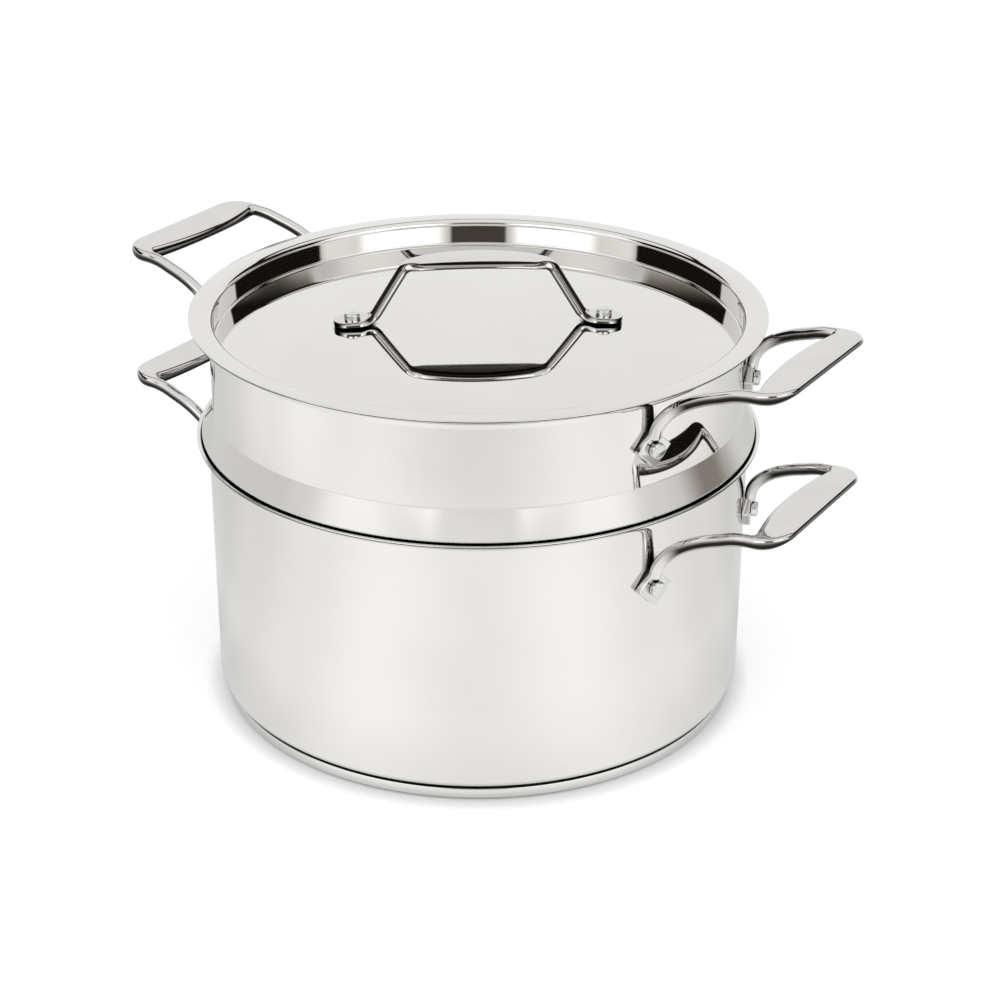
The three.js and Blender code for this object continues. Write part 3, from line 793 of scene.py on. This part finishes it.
def lid_handle(name):
    piece = mirrored_loft(name, lid_handle_rings(), (1, 0, 0))
    drill(piece, lid_places(LID_FOOT, 0.0), TAB_HOLE_REACH)
    piece.data.transform(Matrix.Rotation(LID_HANDLE_TURN, 4, "Z"))
    return piece


# Materials

PANEL_SOFT = 1.0  # half the width of a panel's soft edge, in degrees


class Nodes:
    """A node tree, with short ways to add nodes and links."""

    def __init__(self, tree):
        self.tree = tree
        tree.nodes.clear()

    def add(self, kind, inputs=(), **settings):
        node = self.tree.nodes.new(kind)
        for name, value in settings.items():
            setattr(node, name, value)
        for name, value in dict(inputs).items():
            if isinstance(value, bpy.types.NodeSocket):
                self.tree.links.new(value, node.inputs[name])
            else:
                node.inputs[name].default_value = value
        return node

    def math(self, operation, *values):
        node = self.add("ShaderNodeMath", enumerate(values), operation=operation)
        return node.outputs[0]

    def times(self, a, b):
        return self.math("MULTIPLY", a, b)

    def over(self, low, level, share):
        """The low level, with a share of it covered by another."""
        return self.math("MULTIPLY_ADD", self.math("SUBTRACT", level, low), share, low)

    def parts(self, vector):
        return self.add("ShaderNodeSeparateXYZ", {"Vector": vector}).outputs

    def ramp(self, value, low, high, to_low=0.0, to_high=1.0, kind="LINEAR"):
        node = self.add("ShaderNodeMapRange", {
            "Value": value, "From Min": low, "From Max": high, "To Min": to_low, "To Max": to_high,
        }, interpolation_type=kind)
        return node.outputs["Result"]

    def ease(self, value, low, high, to_low=0.0, to_high=1.0):
        return self.ramp(value, low, high, to_low, to_high, kind="SMOOTHSTEP")

    def below(self, value, high, soft):
        return self.ease(value, high - soft, high + soft, 1.0, 0.0)

    def window(self, value, low, high, soft):
        rise = self.ease(value, low - soft, low + soft)
        return self.times(rise, self.below(value, high, soft))

    def panel(self, across, half_width, up, low, high, corner):
        """1 inside a panel with rounded corners, 0 outside it. Its measures are degrees."""
        half_height = (high - low) / 2
        off = self.math("ABSOLUTE", self.math("SUBTRACT", up, (low + high) / 2))
        beside = self.math("MAXIMUM", self.math("SUBTRACT", across, half_width - corner), 0.0)
        beyond = self.math("MAXIMUM", self.math("SUBTRACT", off, half_height - corner), 0.0)
        squares = self.math("MULTIPLY_ADD", beside, beside, self.times(beyond, beyond))
        return self.below(self.math("SQRT", squares), corner, PANEL_SOFT)

    def blend(self, share, low, high):
        """A colour between two."""
        node = self.add("ShaderNodeMix", {"Factor": share, 6: low, 7: high}, data_type="RGBA")
        return node.outputs[2]

    def bump(self, height, distance):
        node = self.add("ShaderNodeBump", {"Height": height, "Distance": distance, "Strength": 1.0})
        return node.outputs["Normal"]

    def open_sky(self, reach, samples):
        """The share of what a surface faces that is free within a reach in metres."""
        node = self.add("ShaderNodeAmbientOcclusion", {"Distance": reach}, samples=samples)
        return node.outputs["AO"]

    def out_from_z(self, place):
        flat = self.add("ShaderNodeVectorMath", {0: place, 1: (1, 1, 0)}, operation="MULTIPLY").outputs[0]
        return self.add("ShaderNodeVectorMath", {0: flat}, operation="LENGTH").outputs["Value"]

    def noise(self, vector, scale, detail, roughness=0.5):
        node = self.add("ShaderNodeTexNoise", {
            "Vector": vector, "Scale": scale, "Detail": detail, "Roughness": roughness,
        })
        return node.outputs["Fac"]


# Fine looks of the metals, by levels of noise
PATCH_DETAIL = 4.0
PATCH_ROUGHNESS = 0.55
PATCH_COLOURS = (0.3, 0.7)  # from the dark colour to the light one
PATCH_GLOSS = (0.35, 0.65)  # from the greatest roughness to the least
WAVE_SCALE = 14.0  # waves to a metre
WAVE_DETAIL = 1.0
GRAIN_TURN = 0.006  # metres of grain to a radian, so that its lines run round Z
GRAIN_DETAIL = 2.0
GRAIN_LEVELS = (0.3, 0.7)
GRAIN_ROUGHNESS = 0.03  # how far it changes the roughness either way
# Painted shade: the base colour turns dark where little sky is open nearby, in nooks, gaps and grooves; the
# same dark colour serves the painted dark reflections below
PAINTED_SHADE_OPEN = (0.2, 0.58)  # shares of open sky from black painted shade to none
PAINTED_DARK_COLOUR = (0.02, 0.017, 0.014)
PAINTED_SHADE_SAMPLES = 8

# Painted dark reflections and shade on the sides: how far a surface faces up, from painted dark to its own
# colour, and down, from its own colour to painted dark, how much of its own colour it keeps there, and how
# far out from Z in metres the painting starts and is full
UNDERSIDE = (-0.6, -0.4)
EVERYWHERE = (-0.002, -0.001)
HANDLE_PAINTED_DARK = ((0.0, 0.72), UNDERSIDE, 0.7, (0.131, 0.139))
LID_HANDLE_PAINTED_DARK = ((-0.5, -0.05), UNDERSIDE, 0.0, EVERYWHERE)
BAR_PAINTED_DARK = ((0.66, 0.78), (0.08, 0.26), 1.0, EVERYWHERE)
TAB_PAINTED_DARK = ((0.0, 0.5), UNDERSIDE, 0.0, (0.0605, 0.0635))
RIM_PAINTED_DARK = ((-0.1, 0.5), UNDERSIDE, 0.0, (0.1296, 0.1302))


def unpainted_share(nodes, place, skin):
    """1 where a surface keeps its own colour, 0 where dark reflections and shade are painted on its sides.
    """
    faces_up, faces_down, bottom, past = skin
    # Painted dark reflections and shade, by which way a surface faces and how far out from Z it lies
    facing = nodes.add("ShaderNodeNewGeometry").outputs["Normal"]
    up = nodes.parts(facing)["Z"]
    over = nodes.ease(up, *faces_up)
    under = nodes.ease(up, *faces_down, bottom, 0.0)
    near = nodes.ease(nodes.out_from_z(place), *past, 1.0, 0.0)
    return nodes.math("MAXIMUM", nodes.math("MAXIMUM", over, under), near)


def grain_lines(nodes, place, pitch):
    parts = nodes.parts(place)
    turn = nodes.times(nodes.math("ARCTAN2", parts["Y"], parts["X"]), GRAIN_TURN)
    along = {"X": nodes.out_from_z(place), "Y": turn, "Z": parts["Z"]}
    spot = nodes.add("ShaderNodeCombineXYZ", along).outputs["Vector"]
    return nodes.noise(spot, 1 / pitch, GRAIN_DETAIL)


def metal(name, colours, rough, smear, grain=None, wave=0.0, shade_reach=0.004, painted_dark_sides=()):
    """A polished metal, with painted shade darkening its nooks and gaps.

    Its dark and light colours and its least and greatest roughness lie in patches, smear metres wide.
    grain is the pitch of lines turned about Z and how strongly they show, wave the height in metres of
    the slow unevenness of drawn sheet. A metal has one of them or none. The next argument is the reach
    in metres of the painted shade in its nooks and gaps, and the last says where dark reflections and shade
    are painted on its sides.
    """
    material = bpy.data.materials.new(name)
    material.use_nodes = True
    nodes = Nodes(material.node_tree)
    place = nodes.add("ShaderNodeTexCoord").outputs["Object"]
    patches = nodes.noise(place, 1 / smear, PATCH_DETAIL, PATCH_ROUGHNESS)
    colour = nodes.blend(nodes.ramp(patches, *PATCH_COLOURS), *[(*shade, 1) for shade in colours])
    # Painted shade where little sky is open nearby, times the painted dark reflections and shade on the
    # sides
    unpainted = nodes.ease(nodes.open_sky(shade_reach, PAINTED_SHADE_SAMPLES), *PAINTED_SHADE_OPEN)
    for side_unpainted in (unpainted_share(nodes, place, skin) for skin in painted_dark_sides):
        unpainted = nodes.times(unpainted, side_unpainted)
    surface = {
        "Base Color": nodes.blend(unpainted, (*PAINTED_DARK_COLOUR, 1), colour),
        "Metallic": 1.0,
        "Roughness": nodes.ramp(patches, *PATCH_GLOSS, rough[1], rough[0]),
    }
    if wave:
        surface["Normal"] = nodes.bump(nodes.noise(place, WAVE_SCALE, WAVE_DETAIL), wave)
    if grain:
        pitch, show = grain
        lines = grain_lines(nodes, place, pitch)
        surface["Normal"] = nodes.bump(lines, show * pitch)
        change = nodes.ramp(lines, *GRAIN_LEVELS, -GRAIN_ROUGHNESS, GRAIN_ROUGHNESS)
        surface["Roughness"] = nodes.math("ADD", surface["Roughness"], change)
    shader = nodes.add("ShaderNodeBsdfPrincipled", surface)
    nodes.add("ShaderNodeOutputMaterial", {"Surface": shader.outputs[0]})
    return material


# Dark and light colours
STEEL = (0.695, 0.684, 0.664), (0.725, 0.714, 0.695)
SATIN = (0.60, 0.595, 0.585), (0.66, 0.655, 0.645)
CAST = (0.625, 0.614, 0.596), (0.665, 0.654, 0.636)
HEADED = (0.63, 0.627, 0.62), (0.69, 0.687, 0.68)
ALUMINIUM = (0.64, 0.65, 0.66), (0.70, 0.71, 0.72)

HANDLE_LOOK = {"colours": CAST, "rough": (0.03, 0.07), "smear": 0.02, "wave": 0.00001}
# Painted dark reflections and shade: on the outer edges of the pot's lip and the lid's rim, on the lower
# sides of the cast handles, and on the lower and outer sides, bevels and tab ends of the lid handle
mirror = metal("mirror_steel", STEEL, rough=(0.015, 0.04), smear=0.05, wave=0.00002, painted_dark_sides=[RIM_PAINTED_DARK])
satin = metal("satin_steel", SATIN, rough=(0.22, 0.3), smear=0.03, grain=(0.0004, 0.02))
cast = metal("cast_steel", **HANDLE_LOOK, shade_reach=0.012, painted_dark_sides=[HANDLE_PAINTED_DARK])
bent_bar = metal("bar_steel", **HANDLE_LOOK, painted_dark_sides=[LID_HANDLE_PAINTED_DARK, BAR_PAINTED_DARK, TAB_PAINTED_DARK])
headed = metal("rivet_steel", HEADED, rough=(0.14, 0.24), smear=0.006)
core = metal("core_aluminium", ALUMINIUM, rough=(0.38, 0.48), smear=0.02, grain=(0.0006, 0.03))


def satin_inside(piece, floor_top, wall_radius, top):
    """Marks the inside of a vessel, below a height, for the second material."""
    for face in piece.data.polygons:
        spot = face.center / MM
        away = Vector((spot.x, spot.y, 0)).normalized()
        inner_wall = face.normal.dot(away) < SATIN_INWARD and spot.z < top
        inner_floor = face.normal.z > SATIN_UP and spot.z < floor_top and away.dot(spot) < wall_radius
        face.material_index = int(inner_wall or inner_floor)


# Pieces

def stand_in(piece, node, body, slot, *materials):
    for material in materials:
        piece.data.materials.append(material)
    piece.data.shade_smooth()
    piece.data.set_sharp_from_angle(angle=SHARP)
    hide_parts(node)
    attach(piece, body)


def turned_piece(name, section, segments=SEGMENTS, place=Matrix()):
    bm = bmesh.new()
    turned(bm, section, segments, place)
    return to_object(name, bm)


def make_pot():
    shell = turned_piece("pot_shell_drawn", pot_section())
    drill(shell, wall_places(POT_RADIUS, POT_RIVET_Z), PAD_HOLE_REACH)
    satin_inside(shell, BASE_HEIGHT + 2 * POT_CORNER, POT_RADIUS, lip_start(POT_HEIGHT, POT_SHEET))
    stand_in(shell, "pot_shell", "pot", "pot_steel", mirror, satin)
    cap = turned_piece("base_cap_drawn", cap_section())
    for face in cap.data.polygons:
        face.material_index = int(face.normal.z < SATIN_CAP_DOWN)
    stand_in(cap, "base_cap", "pot", "pot_steel", mirror, satin)


def make_insert():
    basket = turned_piece("insert_basket_drawn", insert_section())
    drill(basket, wall_places(INSERT_RADIUS, INSERT_RIVET_Z), PAD_HOLE_REACH)
    carve(basket, perforations(), "DIFFERENCE")
    top = lip_start(INSERT_RIM, INSERT_SHEET)
    satin_inside(basket, BASKET_FLOOR + BASKET_CORNER, BASKET_RADIUS, top)
    stand_in(basket, "insert_basket", "insert", "insert_steel", mirror, satin)


def make_sides():
    vessels = (
        ("pot", POT_RADIUS, POT_SHEET, POT_RIVET_Z),
        ("insert", INSERT_RADIUS, INSERT_SHEET, INSERT_RIVET_Z),
    )
    for vessel, radius, sheet, rivet_z in vessels:
        section = rivet_section(sheet, PAD_THICKNESS, TAIL_GAP)
        for hand, turn in (("right", 0.0), ("left", math.pi)):
            handle = side_handle(f"{vessel}_handle_{hand}_cast", radius, rivet_z, turn)
            stand_in(handle, f"{vessel}_handle_{hand}", vessel, "handle_steel", cast)
            for side in (-1, 1):
                towards = "front" if (side < 0) == (hand == "right") else "back"
                node = f"{vessel}_rivet_{hand}_{towards}"
                place = Matrix.Rotation(turn, 4, "Z") @ wall_place(radius, side, rivet_z)
                rivet = turned_piece(f"{node}_headed", section, RIVET_SEGMENTS, place)
                stand_in(rivet, node, vessel, "rivet_steel", headed)


def make_lid():
    pan = turned_piece("lid_pan_drawn", lid_section())
    drill(pan, lid_places(LID_FOOT, LID_HANDLE_TURN), TAB_HOLE_REACH)
    for face in pan.data.polygons:
        inside = math.hypot(face.center.x, face.center.y) < PANEL_RADIUS * MM
        face.material_index = int(face.normal.z < SATIN_LID_DOWN and inside)
    stand_in(pan, "lid_pan", "lid", "lid_steel", mirror, satin)
    handle = lid_handle("lid_handle_bent")
    stand_in(handle, "lid_handle", "lid", "handle_steel", bent_bar)
    slope = panel_top(LID_FOOT_SPREAD) - panel_top(LID_FOOT_SPREAD + RIVET_TAIL)
    section = rivet_section(LID_SHEET, TAB_THICKNESS, CLEARANCE + slope)
    places = lid_places(LID_FOOT - CLEARANCE, LID_HANDLE_TURN)
    for hand, place in zip(("right", "left"), places):
        rivet = turned_piece(f"lid_rivet_{hand}_headed", section, RIVET_SEGMENTS, place)
        stand_in(rivet, f"lid_rivet_{hand}", "lid", "rivet_steel", headed)


make_pot()
make_insert()
make_sides()
make_lid()
core_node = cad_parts["base_core"]
core_node.data.materials.clear()
core_node.data.materials.append(core)

# Studio. Levels are shares of white. Angles are degrees, up from the floor or round from the camera's side.

DAYLIGHT = 0.75  # what the world gives to matt surfaces
DARK = 0.012
WARM = (1.0, 0.86, 0.76)  # tint of the dark room
WARM_LEVELS = (0.1, 0.75)  # levels from all of it to none
HORIZON = 0.82
HORIZON_FADE = (10, 17)  # angles up
RIGHT_DIP = 0.3  # a dark thing low on the right
RIGHT_DIP_WAY = (93, 117, 9)  # from, to and softness round

# Upright sheets: level, half width, low and high edges, radius of the corners
BACKDROP = (1.04, 39, -10, 40, 6)
FRONT = (1.0, 79, -10, 46, 7)

# Overhead sheets: reach to the sides and along the view as shares of their height, softness of the edges
OVERHEAD = 1.03
OVERHEAD_SIZE = (0.84, 0.7, 0.03)
WIDE_OVERHEAD = (1.1, 0.65)  # levels at the left and at the right
WIDE_OVERHEAD_TURN = 40  # angle round where they are full
WIDE_OVERHEAD_SIZE = (1.1, 0.8, 0.05)

# Lights on both sides of the camera: level, then from, to and softness round, and up
LOW_SIDES = (0.88, (64, 81, 3), (-10, 15, 3))
FRONT_SIDES = (1.4, (52, 77, 2), (19, 44, 3))
SOFTBOX_LOW = (1.25, (34, 64, 12), (4, 42, 3))
SOFTBOX = (2.2, (17, 56, 4), (21, 42, 3))
CAMERA_DARK = (0.1, (-13, 13, 1), (22, 40, 2))
FRONT_LIGHTS = (LOW_SIDES, FRONT_SIDES, SOFTBOX_LOW, SOFTBOX, CAMERA_DARK)

# Floor
FLOOR_RADIUS = 5.0
FLOOR_SEGMENTS = 96
FLOOR_COLOUR = (0.93, 0.93, 0.93)
FLOOR_GLOW = 0.35  # share of white that the floor shows of itself
CONTACT = 0.012  # reach of the shadow where something stands on the floor, in metres
CONTACT_OPEN = (0.5, 0.95, 0.72, 1.0)  # its open shares and what they leave of the light
CONTACT_SAMPLES = 16

# Light of the floor as metal sees it, by angles round
FLOOR_LIGHT = ((0, 1.12), (32, 1.24), (60, 1.11), (90, 0.96), (112, 0.81), (150, 0.7), (180, 0.57))
FLOOR_LIGHT_MOST = 1.3
# It is dimmer near the pot and far in front, and lighter far aside, by metres out, angles round and levels
NEAR_OUT, NEAR_WAY, NEAR_LEVELS = (0.12, 0.2), (10.0, 90.0), (0.1, 0.24)
FAR_OUT, FAR_WAY, FAR_LEVEL = (0.34, 0.46), (15.0, 55.0), 0.13
ASIDE_OUT, ASIDE_WAY, ASIDE_LEVEL = (0.33, 0.46), (60, 115, 15), 0.13
HORIZON_OUT = (0.5, 1.2)  # metres out where the floor turns into the horizon

# Lamps for matt surfaces, one on each side
LAMP_WAY = 40
LAMP_RISE = 50
LAMP_DISTANCE = 1.6
LAMP_SIZE = 1.2
LAMP_POWER = 2

HALF_TURN = 180.0
LEAST_HEIGHT = 0.01


def studio_world():
    """White to the camera. Metal sees white sheets behind, above and in front, and a dark room between."""
    world = bpy.data.worlds.new("studio")
    bpy.context.scene.world = world
    world.use_nodes = True
    nodes = Nodes(world.node_tree)
    direction = nodes.add("ShaderNodeTexCoord").outputs["Generated"]
    way, parts = camera_axes(nodes, direction)
    apart = nodes.math("ABSOLUTE", way)
    rise = nodes.math("DEGREES", nodes.math("ARCSINE", parts["Z"]))
    height = nodes.math("MAXIMUM", parts["Z"], LEAST_HEIGHT)
    aside = nodes.math("DIVIDE", nodes.math("ABSOLUTE", parts["X"]), height)
    along = nodes.math("DIVIDE", nodes.math("ABSOLUTE", parts["Y"]), height)

    def sheet(low, across, level, half_width, *edges):
        return nodes.over(low, level, nodes.panel(across, half_width, rise, *edges))

    def overhead(low, level, to_side, to_front, soft):
        reach = nodes.times(nodes.below(aside, to_side, soft), nodes.below(along, to_front, soft))
        return nodes.over(low, level, reach)

    light = nodes.over(DARK, horizon(nodes, way), nodes.ease(rise, *HORIZON_FADE, 1.0, 0.0))
    light = sheet(light, nodes.math("SUBTRACT", HALF_TURN, apart), *BACKDROP)
    wide = nodes.ramp(way, -WIDE_OVERHEAD_TURN, WIDE_OVERHEAD_TURN, *WIDE_OVERHEAD)
    light = overhead(light, wide, *WIDE_OVERHEAD_SIZE)
    light = overhead(light, OVERHEAD, *OVERHEAD_SIZE)
    light = sheet(light, apart, *FRONT)
    for level, round_about, up in FRONT_LIGHTS:
        share = nodes.times(nodes.window(apart, *round_about), nodes.window(rise, *up))
        light = nodes.over(light, level, share)
    path = nodes.add("ShaderNodeLightPath").outputs
    level = nodes.math("MULTIPLY_ADD", path["Is Camera Ray"], 1.0 - DAYLIGHT, DAYLIGHT)
    level = nodes.over(level, light, path["Is Glossy Ray"])
    tint = nodes.blend(nodes.ramp(level, *WARM_LEVELS), (*WARM, 1), (1, 1, 1, 1))
    background = nodes.add("ShaderNodeBackground", {"Color": tint, "Strength": level})
    nodes.add("ShaderNodeOutputWorld", {"Surface": background.outputs[0]})


def horizon(nodes, way):
    """Light of the far floor and of the room just above it, by degrees round from the camera's side."""
    return nodes.over(HORIZON, RIGHT_DIP, nodes.window(way, *RIGHT_DIP_WAY))


def camera_axes(nodes, vector):
    """Degrees round from the camera's side, and the parts of a vector in the camera's axes."""
    turned_way = nodes.add("ShaderNodeVectorRotate", {
        "Vector": vector, "Angle": -math.radians(CAMERA_TURN),
    }, rotation_type="Z_AXIS").outputs["Vector"]
    parts = nodes.parts(turned_way)
    nearer = nodes.times(parts["Y"], -1.0)
    return nodes.math("DEGREES", nodes.math("ARCTAN2", parts["X"], nearer)), parts


def studio_floor():
    """White to the camera, with the shadow. Metal sees it brightest at the front sides and dim behind."""
    bm = bmesh.new()
    bmesh.ops.create_circle(bm, cap_ends=True, segments=FLOOR_SEGMENTS, radius=FLOOR_RADIUS / MM)
    floor = to_object("floor", bm)
    material = bpy.data.materials.new("white_floor")
    material.use_nodes = True
    nodes = Nodes(material.node_tree)
    place = nodes.add("ShaderNodeTexCoord").outputs["Object"]
    way, _ = camera_axes(nodes, place)
    apart = nodes.math("ABSOLUTE", way)
    ramp = nodes.add("ShaderNodeValToRGB", {"Fac": nodes.math("DIVIDE", apart, HALF_TURN)})
    ramp.color_ramp.interpolation = "EASE"
    stops = ramp.color_ramp.elements
    while len(stops) < len(FLOOR_LIGHT):
        stops.new(1.0)
    for stop, (angle, level) in zip(stops, FLOOR_LIGHT):
        stop.position = angle / HALF_TURN
        stop.color = (*[level / FLOOR_LIGHT_MOST] * 3, 1)
    out = nodes.out_from_z(place)
    far = nodes.ease(out, *FAR_OUT, 0.0, FAR_LEVEL)
    far = nodes.times(far, nodes.ease(apart, *FAR_WAY, 1.0, 0.0))
    near = nodes.ease(out, *NEAR_OUT, 1.0, 0.0)
    near = nodes.times(near, nodes.ramp(apart, *NEAR_WAY, *NEAR_LEVELS))
    aside = nodes.ease(out, *ASIDE_OUT, 0.0, ASIDE_LEVEL)
    aside = nodes.times(aside, nodes.window(apart, *ASIDE_WAY))
    level = nodes.times(ramp.outputs["Color"], FLOOR_LIGHT_MOST)
    level = nodes.math("SUBTRACT", nodes.math("SUBTRACT", level, far), near)
    level = nodes.math("ADD", level, aside)
    level = nodes.over(level, horizon(nodes, way), nodes.ease(out, *HORIZON_OUT))
    lit = nodes.ramp(nodes.open_sky(CONTACT, CONTACT_SAMPLES), *CONTACT_OPEN)
    shown = nodes.times(level, lit)
    mirrored = nodes.add("ShaderNodeEmission", {"Strength": shown}).outputs[0]
    path = nodes.add("ShaderNodeLightPath").outputs
    colour = {0: FLOOR_COLOUR, "Scale": lit}
    white = nodes.add("ShaderNodeVectorMath", colour, operation="SCALE").outputs[0]
    matt = nodes.add("ShaderNodeBsdfDiffuse", {"Color": white}).outputs[0]
    own = nodes.times(nodes.times(path["Is Camera Ray"], FLOOR_GLOW), lit)
    glow = nodes.add("ShaderNodeEmission", {"Strength": own}).outputs[0]
    seen = nodes.add("ShaderNodeAddShader", {0: matt, 1: glow}).outputs[0]
    both = nodes.add("ShaderNodeMixShader", {0: path["Is Glossy Ray"], 1: seen, 2: mirrored}).outputs[0]
    nodes.add("ShaderNodeOutputMaterial", {"Surface": both})
    floor.data.materials.append(material)


def soft_lamp(name, way):
    """A square lamp that faces the pot, at an angle round from the camera's side."""
    data = bpy.data.lights.new(name, "AREA")
    data.shape = "SQUARE"
    data.size = LAMP_SIZE
    data.energy = LAMP_POWER
    lamp = bpy.data.objects.new(name, data)
    turn = math.radians(way + CAMERA_TURN) - QUARTER
    up = math.radians(LAMP_RISE)
    away = Vector((math.cos(turn) * math.cos(up), math.sin(turn) * math.cos(up), math.sin(up)))
    lamp.location = away * LAMP_DISTANCE
    lamp.rotation_euler = (-away).to_track_quat("-Z", "Y").to_euler()
    lamp.visible_glossy = False
    bpy.context.collection.objects.link(lamp)


studio_world()
studio_floor()
soft_lamp("lamp_left", -LAMP_WAY)
soft_lamp("lamp_right", LAMP_WAY)

camera_data = bpy.data.cameras.new("camera")
camera_data.sensor_width = CAMERA_SENSOR
camera_data.lens = CAMERA_LENS
camera_data.shift_x, camera_data.shift_y = CAMERA_SHIFT
camera = bpy.data.objects.new("camera", camera_data)
camera.location = CAMERA_PLACE
camera.rotation_euler = (math.radians(CAMERA_TILT), 0, math.radians(CAMERA_TURN))
bpy.context.collection.objects.link(camera)
bpy.context.scene.camera = camera
bpy.context.scene.view_settings.view_transform = "Standard"
